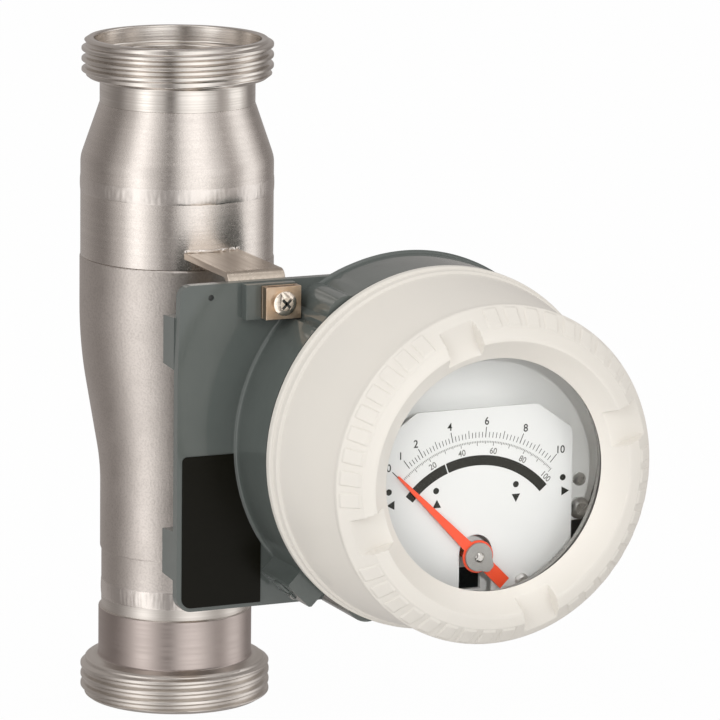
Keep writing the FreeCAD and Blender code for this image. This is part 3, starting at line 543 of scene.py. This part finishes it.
# weld beads: how deep they sit in the wall, how high they stand at most, how far they wander
BEAD_SINK, BEAD_TOP, BEAD_WANDER = 0.12, 0.4, 0.3
BEAD_ROWS, BEAD_FULLNESS, BEAD_END = 17, 0.45, 0.04
BEAD_LUMPS, BEAD_RIPPLES, BEAD_STRETCH = 9, 30, 1.2


def smooth(value, low, high):
    """Smooth step from 0 to 1 as value goes from low to high."""
    t = min(max((value - low) / (high - low), 0), 1)
    return t * t * (3 - 2 * t)


def thread_radius(angle, height, hand):
    """Round thread: a helix that fades in at the face and out above the neck."""
    phase = TURN * ((height - FIRST_CREST) / THREAD_PITCH - hand * angle / TURN)
    wave = smooth(0.5 + 0.5 * math.cos(phase), *THREAD_FULLNESS)
    before, after = FADE_IN
    fade = smooth(height, THREAD_START - before, THREAD_START + after)
    fade *= 1 - smooth(height, THREAD_END - FADE_OUT, THREAD_END)
    return THREAD_ROOT + (THREAD_CREST - THREAD_ROOT) * wave * fade


def union(name, node, low_end, length, foot):
    """Threaded union from its face at height 0 inwards; foot is the rest of its outside."""
    before = rounded([(BORE, length), (BORE, RECESS_DEPTH, 0.5), (RECESS_RADIUS, RECESS_DEPTH, 0.7),
                      (RECESS_RADIUS, 0, 0.6), (FACE_RADIUS, 0, 0.5), (THREAD_ROOT, THREAD_START)])
    thread = [(None, THREAD_START + (THREAD_END - THREAD_START) * i / THREAD_STEPS)
              for i in range(1, THREAD_STEPS)]
    inwards, onwards = THREAD_RUN_OUT
    after = rounded([(THREAD_ROOT, THREAD_END), (THREAD_ROOT - inwards, THREAD_END + onwards, 0.6),
                     (NECK, UNION_LENGTH, 0.9)] + foot)
    outline = before + thread + after
    hand = 1 if low_end else -1
    points = []
    for r, h in outline:
        height = h if low_end else PIPE_HIGH - PIPE_LOW - h
        for j in range(UNION_TURNS):
            angle = TURN * j / UNION_TURNS
            radius = thread_radius(angle, h, hand) if r is None else r
            points.append((radius * math.cos(angle), radius * math.sin(angle), height))
    piece(name, points, grid_faces(len(outline), UNION_TURNS, True), PIPE, "housing",
          LOOK["satin" if low_end else "turned"], node)


def bead(name, radius, low, high, swell, lump, material, turns=720, start=0.0, sweep=TURN):
    """Weld bead round the pipe: a low lump whose edge and height wander."""
    closed = sweep == TURN
    columns = turns if closed else turns + 1
    points = []
    for i in range(BEAD_ROWS):
        across = i / (BEAD_ROWS - 1)
        hump = swell * math.sin(math.pi * across) ** BEAD_FULLNESS
        for j in range(columns):
            angle = start + sweep * j / turns
            x, y = math.cos(angle), math.sin(angle)
            scale = noise.noise(Vector((x * BEAD_LUMPS, y * BEAD_LUMPS, low)))
            ripple = noise.noise(Vector((x * BEAD_RIPPLES, y * BEAD_RIPPLES,
                                         across * BEAD_STRETCH + high)))
            end = 1.0 if closed else smooth(min(j, turns - j) / turns, 0, BEAD_END)
            r = radius - BEAD_SINK + min(hump * (1 + lump * (scale + ripple)) * end, BEAD_TOP)
            edge = BEAD_WANDER * scale * (1 - 2 * across)
            points.append((r * x, r * y, low + (high - low) * across + edge))
    faces = []
    for i in range(BEAD_ROWS - 1):
        for j in range(columns if closed else columns - 1):
            k = (j + 1) % columns
            faces.append((i * columns + j, i * columns + k, (i + 1) * columns + k,
                          (i + 1) * columns + j))
    piece(name, points, faces, PIPE, "housing", material)


def inlet_end():
    """Lower union, with the plain foot that the pipe is welded to."""
    low, high = box_mm("inlet_pipe")
    union("inlet_union", "inlet_coupling", True, low.z,
          [(NECK, SHOULDER, 0.5), (high.x, SHOULDER, 0.2), (high.x, low.z, 0.25)])


def outlet_end():
    length = PIPE_HIGH - box_mm("outlet_reducer")[1].z
    union("outlet_union", "outlet_coupling", False, length, [(NECK, length)])


def inlet_stub():
    low, high = box_mm("inlet_pipe")
    lathe("inlet_stub", [(high.x, low.z, 0.3), (high.x, high.z), (BORE, high.z), (BORE, low.z)],
          PIPE, "housing", LOOK["blasted"], "inlet_pipe")


def tapered_tube():
    """Tube that opens upwards; it keeps inside the side where the CAD's mesh reaches least."""
    low, high = box_mm("measuring_tube")
    bottom, top = TUBE_BOTTOM, -low.x
    start, end = (low.z + share * (high.z - low.z) for share in TAPER_SHARES)
    lathe("tapered_tube", [
        (bottom, low.z, 0.5), (bottom, start, TAPER_LOW_BLENDS[0]), (top, end, TAPER_HIGH_BLENDS[0]),
        (top, high.z, 1.1), (top - WALL, high.z), (top - WALL, end, TAPER_HIGH_BLENDS[1]),
        (bottom - WALL, start, TAPER_LOW_BLENDS[1]), (bottom - WALL, low.z)], PIPE, "housing",
        LOOK["blasted"], "measuring_tube", turns=PIPE_TURNS, steps=18)


def outlet_shell():
    low, high = box_mm("outlet_body")
    inner = high.x - WALL
    lathe("outlet_shell", [(high.x, low.z, 0.9), (high.x, high.z), (inner, high.z), (inner, low.z)],
          PIPE, "housing", LOOK["spun"], "outlet_body", turns=PIPE_TURNS)


def reducer_shell():
    low, high = box_mm("outlet_reducer")
    inner, cone = high.x - WALL, high.z - CONE_LENGTH
    lathe("reducer_shell", [
        (high.x, low.z), (high.x, cone, CONE_BLEND), (NECK, high.z, 0.3), (BORE, high.z),
        (inner, cone, CONE_BLEND), (inner, low.z)], PIPE, "housing", LOOK["spun"],
        "outlet_reducer", turns=PIPE_TURNS, steps=10)


def welds():
    """Beads at the joints of the pipe run and along the tongue of the upper bracket."""
    stub_low, stub_high = box_mm("inlet_pipe")
    body_high = box_mm("outlet_body")[1]
    tube_low = box_mm("measuring_tube")[0]
    tongue = box_mm("upper_bracket")[1]
    half = math.asin(tongue.x / body_high.x)
    bead("outlet_weld", body_high.x, body_high.z - 0.6, body_high.z + 6.3, 0.34, 0.12, LOOK["weld"])
    bead("inlet_weld", stub_high.x, stub_low.z - 5.2, stub_low.z + 2.6, 0.34, 0.12, LOOK["weld"])
    bead("stub_weld", TUBE_BOTTOM - 0.15, tube_low.z - 0.9, tube_low.z + 0.7, 0.22, 0.3,
         LOOK["blasted"])
    bead("tongue_weld", body_high.x, tongue.z - 0.2, tongue.z + 1.3, 0.4, 0.8, LOOK["weld"], 120,
         -math.pi / 2 - half, 2 * half)


# ---------------------------------------------------------------- indicator housing

# bell, in indicator axes: radii, and heights in front of the back plate
BELL_BACK, BELL_FRONT, BELL_FRONT_RADIUS = 30.0, 80.5, 65.6
BEAD_STEP = 1.1
BELL_FRONT_BEVEL = (1.6, 1.3)
GROOVE_RADII, GROOVE_FLOOR = (61.7, 59.1), 78.1
NECK_BORE, NECK_END = 58.0, 68.5
BELL_INSIDE = [(62.0, 64.5), (67.1, 39.9, 4), (69.1, BELL_BACK)]
HOUSING_TURNS = 240

# fillet between the drum of the base and its plate
DRUM, FILLET, FILLET_STEPS, FILLET_SINK = 72.6, 1.3, 6, 0.2

# cover: sloping grip band, face ring, deep chamfer down to the window and threaded skirt
COVER_RADIUS, COVER_BACK, COVER_FRONT = 67.2, 81.0, 93.0
COVER_TOP = -PLATE_FRONT - COVER_LOW.y
BAND_LOW, BAND_HIGH, FACE_OUTER, FACE_INNER = 84.7, 92.0, 59.4, 54.4
WINDOW, WINDOW_EDGE, WINDOW_SEAT = 46.1, 84.6, 84.4
SKIRT, SKIRT_BORE, SKIRT_END, SKIRT_BEVEL = 57.9, 53.0, 72.5, 0.8
BACK_BEVEL = 1.0
COVER_TURNS, COVER_STEP = 1080, 0.42

# spanner notches and the grip pads between them
NOTCH_ANGLE, NOTCH_HALF, NOTCH_FLOOR, NOTCH_EDGE = 17.75, 7.25, 87.8, 0.3
PADS, PAD_STEP, PAD_HALF, PAD_EDGE = 9, 7.75, 2.7, 0.28
PAD_RISE, PAD_MOAT, MOAT_AWAY, MOAT_WIDTH = 0.52, 0.10, 0.35, 0.3
BAND_INNER, BAND_START, BAND_RUN, BAND_NORMAL = 59.2, 83.5, 7.8, (0.683, 0.73)


def bell():
    """Turned bell: beads at the back, a long shoulder, the seal groove and the thread bore."""
    rim = box_mm("bell")[1].x - AXIS_X
    base, neck = rim - BEAD_STEP, rim - 2 * BEAD_STEP
    beads = [(base, 0, 0.2), (rim, 0.4, 0.9), (rim, 4.0, 1.0), (base - 0.2, 4.4, 0.5),
             (base, 4.9, 0.3), (base, 7.9, 0.8), (neck, 8.6, 0.5), (neck, 10.2, 2.5)]
    outside = [(r, BELL_BACK + h, blend) for r, h, blend in beads]
    across, down = BELL_FRONT_BEVEL
    front = [(BELL_FRONT_RADIUS, BELL_FRONT - down, 1.2),
             (BELL_FRONT_RADIUS - across, BELL_FRONT, 0.3)]
    outer, inner = GROOVE_RADII
    groove = [(outer, BELL_FRONT), (outer, GROOVE_FLOOR), (inner, GROOVE_FLOOR), (inner, BELL_FRONT)]
    bore = [(NECK_BORE, BELL_FRONT), (NECK_BORE, NECK_END)]
    lathe("bell_shell", outside + front + groove + bore + BELL_INSIDE, INDICATOR, "housing",
          LOOK["cream"], "bell", turns=HOUSING_TURNS, steps=5)


def drum_fillet():
    """Cast fillet where the drum of the base meets its back plate."""
    quarter = [math.pi / 2 * k / FILLET_STEPS for k in range(FILLET_STEPS + 1)]
    arc = [(DRUM + FILLET * (1 - math.sin(a)), FILLET * (1 - math.cos(a))) for a in quarter]
    inside = DRUM - FILLET_SINK
    lathe("drum_fillet", [(inside, -FILLET_SINK)] + arc + [(inside, FILLET)], INDICATOR, "housing",
          LOOK["dark"], turns=HOUSING_TURNS)


def dense(points, step):
    """Adds points along the outline so that none lie further apart than step."""
    out = [points[0]]
    for a, b in zip(points, points[1:]):
        count = max(1, math.ceil(math.dist(a, b) / step))
        out += [(a[0] + (b[0] - a[0]) * k / count, a[1] + (b[1] - a[1]) * k / count)
                for k in range(1, count + 1)]
    return out


def pad_lift(off, r):
    """Height of the grip band at off degrees from a pad's middle: a pad with a moat round it."""
    down = (COVER_RADIUS - r) / BAND_RUN
    side = abs(r * math.radians(off))
    inside = 1 - smooth(side, PAD_HALF - PAD_EDGE, PAD_HALF + PAD_EDGE)
    inside *= smooth(down, 0.10, 0.16) * (1 - smooth(down, 0.86, 0.93))
    moat = math.exp(-((side - PAD_HALF - MOAT_AWAY) / MOAT_WIDTH) ** 2)
    moat *= smooth(down, 0.04, 0.1) * (1 - smooth(down, 0.9, 0.96))
    return PAD_RISE * inside - PAD_MOAT * moat


def cover_shift(angle, r, h):
    """Moves a point of the plain cover front for its grip pads and spanner notches."""
    degrees = math.degrees(angle) - NOTCH_ANGLE
    if r > BAND_INNER and h > BAND_START:
        from_middle = degrees % 90 - 45
        pad = round(from_middle / PAD_STEP)
        if abs(pad) <= (PADS - 1) / 2:
            lift = pad_lift(from_middle - pad * PAD_STEP, r)
            r, h = r + lift * BAND_NORMAL[0], h + lift * BAND_NORMAL[1]
    if h > NOTCH_FLOOR:
        across = abs(r * math.sin(math.radians((degrees + 45) % 90 - 45)))
        open_share = 1 - smooth(across, NOTCH_HALF - NOTCH_EDGE, NOTCH_HALF + NOTCH_EDGE)
        h -= (h - NOTCH_FLOOR) * open_share
    return r, h


def cover():
    """Front of the cover as one fine grid, and its plain back and skirt as a lathe."""
    front = rounded([(COVER_RADIUS, COVER_BACK + BACK_BEVEL), (COVER_RADIUS, BAND_LOW, 1.4),
                     (FACE_OUTER, BAND_HIGH, 0.7), (FACE_INNER, COVER_FRONT, 1.1),
                     (WINDOW, WINDOW_EDGE, 0.3), (WINDOW, WINDOW_SEAT)])
    outline = dense(front, COVER_STEP)
    points = []
    for r, h in outline:
        for j in range(COVER_TURNS):
            angle = TURN * j / COVER_TURNS
            r2, h2 = cover_shift(angle, r, h)
            points.append((r2 * math.cos(angle), r2 * math.sin(angle), min(h2, COVER_TOP)))
    piece("cover_face", points, grid_faces(len(outline), COVER_TURNS), INDICATOR, "cover",
          LOOK["cream"], "cover")
    skirt = [(WINDOW, WINDOW_SEAT), (SKIRT_BORE, WINDOW_SEAT), (SKIRT_BORE, SKIRT_END),
             (SKIRT - SKIRT_BEVEL, SKIRT_END, 0.2), (SKIRT, SKIRT_END + SKIRT_BEVEL, 0.2),
             (SKIRT, COVER_BACK), (COVER_RADIUS - BACK_BEVEL, COVER_BACK, 0.6),
             (COVER_RADIUS, COVER_BACK + BACK_BEVEL)]
    lathe("cover_skirt", skirt, INDICATOR, "cover", LOOK["cream"], "cover",
          turns=HOUSING_TURNS, closed=False)


# ---------------------------------------------------------------- dial print

# all in millimetres from the hub and degrees clockwise from straight up
INK = 0.04
BAND_RADII = (36.0, 40.0)
BAND_STRETCHES = ((-49.5, -20.3), (-19.6, 49.5))
OUTER_NUMBERS = {0: -45.0, 1: -37.9, 2: -29.6, 4: -12.9, 6: 4.3, 8: 23.0, 10: 42.5}
OUTER_FOOT, NUMBERED_TOP, WHOLE_TOP, FIFTH_TOP = 47.0, 51.2, 50.2, 49.2
NUMBERED_WIDTH, OUTER_WIDTH = 0.32, 0.26
OUTER_RADIUS, OUTER_SIZE = 53.4, 4.3
INNER_NUMBERS = {20: -27.0, 40: -9.0, 60: 9.6, 80: 28.2, 100: 45.6}
INNER_TOP, TENTH_FOOT, HALF_FOOT, UNIT_FOOT = 45.7, 43.8, 44.5, 44.9
INNER_START, INNER_SWEEP, INNER_WIDTH = -45, 90, 0.30
INNER_RADIUS, INNER_SIZE = 41.7, 3.4
ARROW_SIZE, ARROWS = 2.1, ((-17.0, 21.6, 0), (17.1, 22.0, 180), (-36.4, 23.0, -90), (38.2, 22.7, 90))
DOT_RADIUS, DOTS = 1.27, ((-17.4, 27.2), (17.0, 27.1), (-37.6, 28.3), (37.4, 28.2))
DIGIT_WIDTH, DIGIT_WEIGHT = 0.94, 0.012


def flat_piece(name, points, faces, ink):
    """Printed mark on the dial."""
    spots = [(x, y, INK) for x, y in points]
    piece(name, spots, faces, DIAL, "housing", LOOK[ink], smooth=False)


def on_arc(radius, degrees):
    """Point of the dial at a radius and at an angle clockwise from straight up."""
    a = math.radians(degrees)
    return radius * math.sin(a), radius * math.cos(a)


class Print:
    """Collects the printed marks of the dial into one flat mesh."""

    def __init__(self):
        self.points, self.faces = [], []

    def shape(self, corners):
        base = len(self.points)
        self.points += corners
        self.faces.append(tuple(range(base, base + len(corners))))

    def tick(self, degrees, inner, outer, width):
        """Radial stroke from one radius to another."""
        ux, uy = on_arc(1, degrees)
        half = width / 2
        self.shape([(ux * r + uy * s, uy * r - ux * s)
                    for r, s in ((inner, -half), (inner, half), (outer, half), (outer, -half))])

    def band(self, inner, outer, start, end, parts=120):
        rim = [on_arc(outer, start + (end - start) * k / parts) for k in range(parts + 1)]
        low = [on_arc(inner, start + (end - start) * k / parts) for k in range(parts + 1)]
        for k in range(parts):
            self.shape([rim[k], rim[k + 1], low[k + 1], low[k]])

    def disc(self, x, y, radius, sides=24):
        self.shape([(x + radius * math.cos(TURN * k / sides), y + radius * math.sin(TURN * k / sides))
                    for k in range(sides)])

    def arrow(self, x, y, size, degrees):
        """Solid triangle that points up before it is turned."""
        a = math.radians(degrees)
        corners = ((0, size), (size * 0.87, -size * 0.6), (-size * 0.87, -size * 0.6))
        self.shape([(x + u * math.cos(a) + v * math.sin(a), y - u * math.sin(a) + v * math.cos(a))
                    for u, v in corners])


def outer_angle(value):
    """Angle of the outer scale at a value, straight between its numbers."""
    keys = sorted(OUTER_NUMBERS)
    for a, b in zip(keys, keys[1:]):
        if value <= b:
            break
    return OUTER_NUMBERS[a] + (OUTER_NUMBERS[b] - OUTER_NUMBERS[a]) * (value - a) / (b - a)


def number_mesh(text, size):
    """Plain digits as a mesh, centred on their own origin."""
    curve = bpy.data.curves.new("number", "FONT")
    curve.body = text
    curve.align_x = "CENTER"
    curve.align_y = "CENTER"
    curve.size = size
    curve.offset = DIGIT_WEIGHT * size
    holder = bpy.data.objects.new("number", curve)
    bpy.context.scene.collection.objects.link(holder)
    bpy.context.view_layer.update()
    placed = holder.evaluated_get(bpy.context.evaluated_depsgraph_get())
    mesh = bpy.data.meshes.new_from_object(placed)
    bpy.data.objects.remove(holder)
    return mesh


def number(value, radius, degrees, size, lean, ink):
    """Dial number at a place on the dial, leaning by lean degrees."""
    mesh = number_mesh(str(value), size)
    x, y = on_arc(radius, degrees)
    turn = math.radians(lean)
    points = []
    for v in mesh.vertices:
        u, w = v.co.x * DIGIT_WIDTH, v.co.y
        points.append((x + u * math.cos(turn) + w * math.sin(turn),
                       y - u * math.sin(turn) + w * math.cos(turn)))
    faces = [tuple(p.vertices) for p in mesh.polygons]
    bpy.data.meshes.remove(mesh)
    flat_piece("number_%d_%d" % (value, radius), points, faces, ink)


def inner_scale():
    """Fine grey scale of a hundred parts."""
    scale = Print()
    for k in range(101):
        foot = TENTH_FOOT if k % 10 == 0 else HALF_FOOT if k % 5 == 0 else UNIT_FOOT
        scale.tick(INNER_START + INNER_SWEEP * k / 100, foot, INNER_TOP, INNER_WIDTH)
    flat_piece("dial_fine_scale", scale.points, scale.faces, "faint")


def dial_marks():
    """Black band, outer scale in fifths from 1 upwards, and the arrows and dots."""
    marks = Print()
    for start, end in BAND_STRETCHES:
        marks.band(*BAND_RADII, start, end)
    for k in (0, *range(10, 101, 2)):
        value = k / 10
        numbered = value in OUTER_NUMBERS
        top = NUMBERED_TOP if numbered else WHOLE_TOP if k % 10 == 0 else FIFTH_TOP
        marks.tick(outer_angle(value), OUTER_FOOT, top, NUMBERED_WIDTH if numbered else OUTER_WIDTH)
    for x, y, turn in ARROWS:
        marks.arrow(x, y, ARROW_SIZE, turn)
    for x, y in DOTS:
        marks.disc(x, y, DOT_RADIUS)
    flat_piece("dial_marks", marks.points, marks.faces, "print")


def dial_numbers():
    for value, degrees in OUTER_NUMBERS.items():
        number(value, OUTER_RADIUS, degrees, OUTER_SIZE, 0, "print")
    for value, degrees in INNER_NUMBERS.items():
        number(value, INNER_RADIUS, degrees, INNER_SIZE, degrees, "faint")


# ---------------------------------------------------------------- the rest of the pieces

# width of the broken edges in millimetres, and the segments across them
DRESSED = {
    "upper_bracket": (0.4, 3), "lower_bracket": (0.4, 3), "housing_base": (0.45, 3),
    "name_plate": (0.12, 2), "blanking_plug": (0.15, 2), "earth_clamp": (0.2, 2),
    "earth_saddle": (0.3, 3), "earth_screw": (0.16, 2), "dial_plate": (0.08, 1),
    "carrier_plate": (0.2, 2), "pointer": (0.12, 2), "pointer_hub": (0.2, 2), "hub_screw": (0.1, 2),
    "carrier_screws": (0.12, 2), "stop_screws": (0.12, 2), "dial_screws": (0.12, 2),
    "bracket_screws": (0.2, 2), "housing_screws": (0.2, 2),
}

# cross recess of the earth screw, and the spare hole in the plate, where dark sheets lie as painted
# shade
CROSS_DEPTH, CROSS_REACH, CROSS_HALF = 0.75, 2.5, 0.54
SPARE_X, SPARE_Y, SPARE_RADIUS, SPARE_FLOOR, SPARE_SIDES = -83.85, 60.2, 1.19, -1.2, 24


def screw_recess():
    """Painted shade: a dark sheet laid on the floor of the cross recess in the earth screw."""
    low, high = box_mm("earth_screw")
    centre_x, centre_y = (low.x + high.x) / 2 - AXIS_X, (low.z + high.z) / 2 - AXIS_Z
    floor_w = -PLATE_FRONT - low.y - CROSS_DEPTH
    points = []
    for turn in (math.pi / 4, -math.pi / 4):
        along = Vector((math.cos(turn), math.sin(turn)))
        side = Vector((-along.y, along.x)) * CROSS_HALF
        for u, v in ((1, 1), (-1, 1), (-1, -1), (1, -1)):
            spot = along * CROSS_REACH * u + side * v
            points.append((centre_x + spot.x, centre_y + spot.y, floor_w))
    piece("earth_screw_recess_shade", points, [(0, 1, 2, 3), (4, 5, 6, 7)], INDICATOR, "housing",
          LOOK["dark_and_painted_shade"], smooth=False)


def spare_hole_floor():
    """Painted shade: a dark disc laid on the floor of the spare hole."""
    turns = [TURN * k / SPARE_SIDES for k in range(SPARE_SIDES)]
    ring = [(SPARE_X + SPARE_RADIUS * math.cos(a), SPARE_Y + SPARE_RADIUS * math.sin(a), SPARE_FLOOR)
            for a in turns]
    piece("spare_hole_floor", ring, [tuple(range(SPARE_SIDES))], INDICATOR, "housing",
          LOOK["dark_and_painted_shade"], smooth=False)


inlet_end()
outlet_end()
inlet_stub()
tapered_tube()
outlet_shell()
reducer_shell()
welds()
bell()
drum_fillet()
cover()
inner_scale()
dial_marks()
dial_numbers()
for dressed_node, (edge_width, edge_segments) in DRESSED.items():
    dressed(dressed_node, edge_width, edge_segments)
screw_recess()
spare_hole_floor()


# ---------------------------------------------------------------- stage, light and camera

AMBIENT, EVEN_LIGHT = 0.83, (1, 0.99, 0.975, 1)
# level of the room by compass angle from the reader's far side (0), right-hand positive
ROOM = [(-180, 1.60), (-168, 1.30), (-148, 0.16), (-130, 0.85), (-109, 1.85), (-86, 0.62),
        (-62, 0.24), (-13, 0.42), (30, 0.40), (71, 0.26), (87, 0.70), (98, 1.35), (112, 1.30),
        (124, 0.60), (135, 0.42), (150, 0.90), (170, 1.60), (180, 1.60)]
FLOOR_SIZE, FLOOR_DROP, FLOOR_GLOW, FLOOR_GREY = 12, 0.0002, 0.97, (0.86, 0.86, 0.86)
BEAM_PLACE, BEAM_POWER, BEAM_RADIUS, BEAM_BLEND = (-0.337, -1.55, 0.511), 40.0, 0.015, 0.2
BEAM_ANGLE, BEAM_DEPTH = math.radians(3.6), 7
# soft lights: place, target, size and watts
LAMPS = {
    "left_soft": ((-1.7, -1.0, 0.9), (0.03, -0.05, 0.13), 1.0, 8.8),
    "front_soft": ((0.75, -1.9, 0.95), (0.06, -0.15, 0.12), 0.6, 4.6),
}
CAMERA_PLACE = (-0.8338897, -2.0224654, 0.5878411)
CAMERA_AZIMUTH, CAMERA_ELEVATION, CAMERA_ROLL = -24.37885, 11.546956, 0.697185
CAMERA_LENS, CAMERA_SENSOR, CAMERA_REACH = 272.448, 36, 20


def background(nodes, colour=(1, 1, 1, 1), strength=1.0):
    made = nodes.new("ShaderNodeBackground")
    made.inputs["Color"].default_value = colour
    made.inputs["Strength"].default_value = strength
    return made


def room(nodes, links):
    """Studio walls, as a level for each compass angle."""
    where = nodes.new("ShaderNodeTexCoord")
    split = nodes.new("ShaderNodeSeparateXYZ")
    angle = nodes.new("ShaderNodeMath")
    angle.operation = "ARCTAN2"
    scale = nodes.new("ShaderNodeMapRange")
    scale.inputs["From Min"].default_value = -math.pi
    scale.inputs["From Max"].default_value = math.pi
    ramp = nodes.new("ShaderNodeValToRGB")
    ramp.color_ramp.interpolation = "EASE"
    fill_ramp(ramp.color_ramp, ROOM)
    walls = background(nodes)
    links.new(where.outputs["Generated"], split.inputs["Vector"])
    links.new(split.outputs["X"], angle.inputs[0])
    links.new(split.outputs["Y"], angle.inputs[1])
    links.new(angle.outputs[0], scale.inputs["Value"])
    links.new(scale.outputs["Result"], ramp.inputs["Fac"])
    links.new(ramp.outputs["Color"], walls.inputs["Color"])
    return walls


def world_light():
    """White for the camera and through glass, the room for reflections, even light otherwise."""
    world = bpy.data.worlds.new("studio")
    bpy.context.scene.world = world
    world.use_nodes = True
    nodes, links = world.node_tree.nodes, world.node_tree.links
    nodes.clear()
    out = nodes.new("ShaderNodeOutputWorld")
    path = nodes.new("ShaderNodeLightPath")
    lit = nodes.new("ShaderNodeMixShader")
    links.new(path.outputs["Is Glossy Ray"], lit.inputs["Fac"])
    links.new(background(nodes, EVEN_LIGHT, AMBIENT).outputs[0], lit.inputs[1])
    links.new(room(nodes, links).outputs[0], lit.inputs[2])
    either = nodes.new("ShaderNodeMath")
    either.operation = "MAXIMUM"
    links.new(path.outputs["Is Camera Ray"], either.inputs[0])
    links.new(path.outputs["Is Transmission Ray"], either.inputs[1])
    seen = nodes.new("ShaderNodeMixShader")
    links.new(either.outputs[0], seen.inputs["Fac"])
    links.new(lit.outputs[0], seen.inputs[1])
    links.new(background(nodes).outputs[0], seen.inputs[2])
    links.new(seen.outputs[0], out.inputs["Surface"])


def fill_ramp(ramp, stops):
    """Levels as colours: the darker the room, the warmer it is."""
    while len(ramp.elements) < len(stops):
        ramp.elements.new(0.5)
    for element, (degrees, level) in zip(ramp.elements, stops):
        element.position = (degrees + 180) / 360
        warmth = max(0.0, 1.0 - level)
        element.color = (level * (1 + 0.08 * warmth), level * (0.99 - 0.01 * warmth),
                         level * (0.98 - 0.05 * warmth), 1)


def aimed(name, light, place, target):
    """Stands a light at place, looking at target, unseen in reflections."""
    made = bpy.data.objects.new(name, light)
    bpy.context.scene.collection.objects.link(made)
    made.location = place
    made.rotation_euler = (Vector(target) - Vector(place)).to_track_quat("-Z", "Y").to_euler()
    made.visible_glossy = False


def lamp(name, place, target, size, power):
    """Square soft light."""
    light = bpy.data.lights.new(name, "AREA")
    light.shape = "RECTANGLE"
    light.size, light.size_y = size, size
    light.energy = power
    aimed(name, light, place, target)


def window_light():
    """Narrow soft beam into the deep window, from beside the camera."""
    light = bpy.data.lights.new("window_beam", "SPOT")
    light.energy = BEAM_POWER
    light.spot_size = BEAM_ANGLE
    light.spot_blend = BEAM_BLEND
    light.shadow_soft_size = BEAM_RADIUS
    aimed("window_beam", light, BEAM_PLACE, Vector((AXIS_X, COVER_LOW.y + BEAM_DEPTH, AXIS_Z)) * MM)


def floor():
    """White ground that glows for the camera, so that no horizon shows."""
    height = PIPE_LOW * MM - FLOOR_DROP
    bpy.ops.mesh.primitive_plane_add(size=FLOOR_SIZE, location=(0, 0, height))
    made = bpy.context.object
    made.name = "floor"
    surface = Surface("floor", FLOOR_GREY, 0.7)
    glow = surface.node("ShaderNodeEmission")
    glow.inputs["Color"].default_value = (1, 1, 1, 1)
    path = surface.node("ShaderNodeLightPath")
    share = surface.node("ShaderNodeMath", operation="MULTIPLY")
    share.inputs[1].default_value = FLOOR_GLOW
    mix = surface.node("ShaderNodeMixShader")
    out = surface.tree.nodes["Material Output"]
    surface.link(path.outputs["Is Camera Ray"], share.inputs[0])
    surface.link(share.outputs[0], mix.inputs["Fac"])
    surface.link(surface.shader.outputs[0], mix.inputs[1])
    surface.link(glow.outputs[0], mix.inputs[2])
    surface.link(mix.outputs[0], out.inputs["Surface"])
    made.data.materials.append(surface.material)
    made.visible_glossy = False


def camera():
    """Looks down on the part from the reader's left."""
    azimuth, elevation = math.radians(CAMERA_AZIMUTH), math.radians(CAMERA_ELEVATION)
    roll = math.radians(CAMERA_ROLL)
    back = Vector((math.sin(azimuth) * math.cos(elevation),
                   -math.cos(azimuth) * math.cos(elevation), math.sin(elevation)))
    right = (-back).cross(Vector((0, 0, 1))).normalized()
    up = right.cross(-back)
    c, s = math.cos(roll), math.sin(roll)
    right, up = c * right + s * up, -s * right + c * up
    data = bpy.data.cameras.new("camera")
    data.sensor_width = CAMERA_SENSOR
    data.lens = CAMERA_LENS
    data.clip_end = CAMERA_REACH
    made = bpy.data.objects.new("camera", data)
    bpy.context.scene.collection.objects.link(made)
    turn = Matrix((right, up, back)).transposed().to_4x4()
    made.matrix_world = Matrix.Translation(CAMERA_PLACE) @ turn
    bpy.context.scene.camera = made


world_light()
floor()
camera()
for lamp_name, settings in LAMPS.items():
    lamp(lamp_name, *settings)
window_light()
bpy.context.scene.view_settings.view_transform = "Standard"
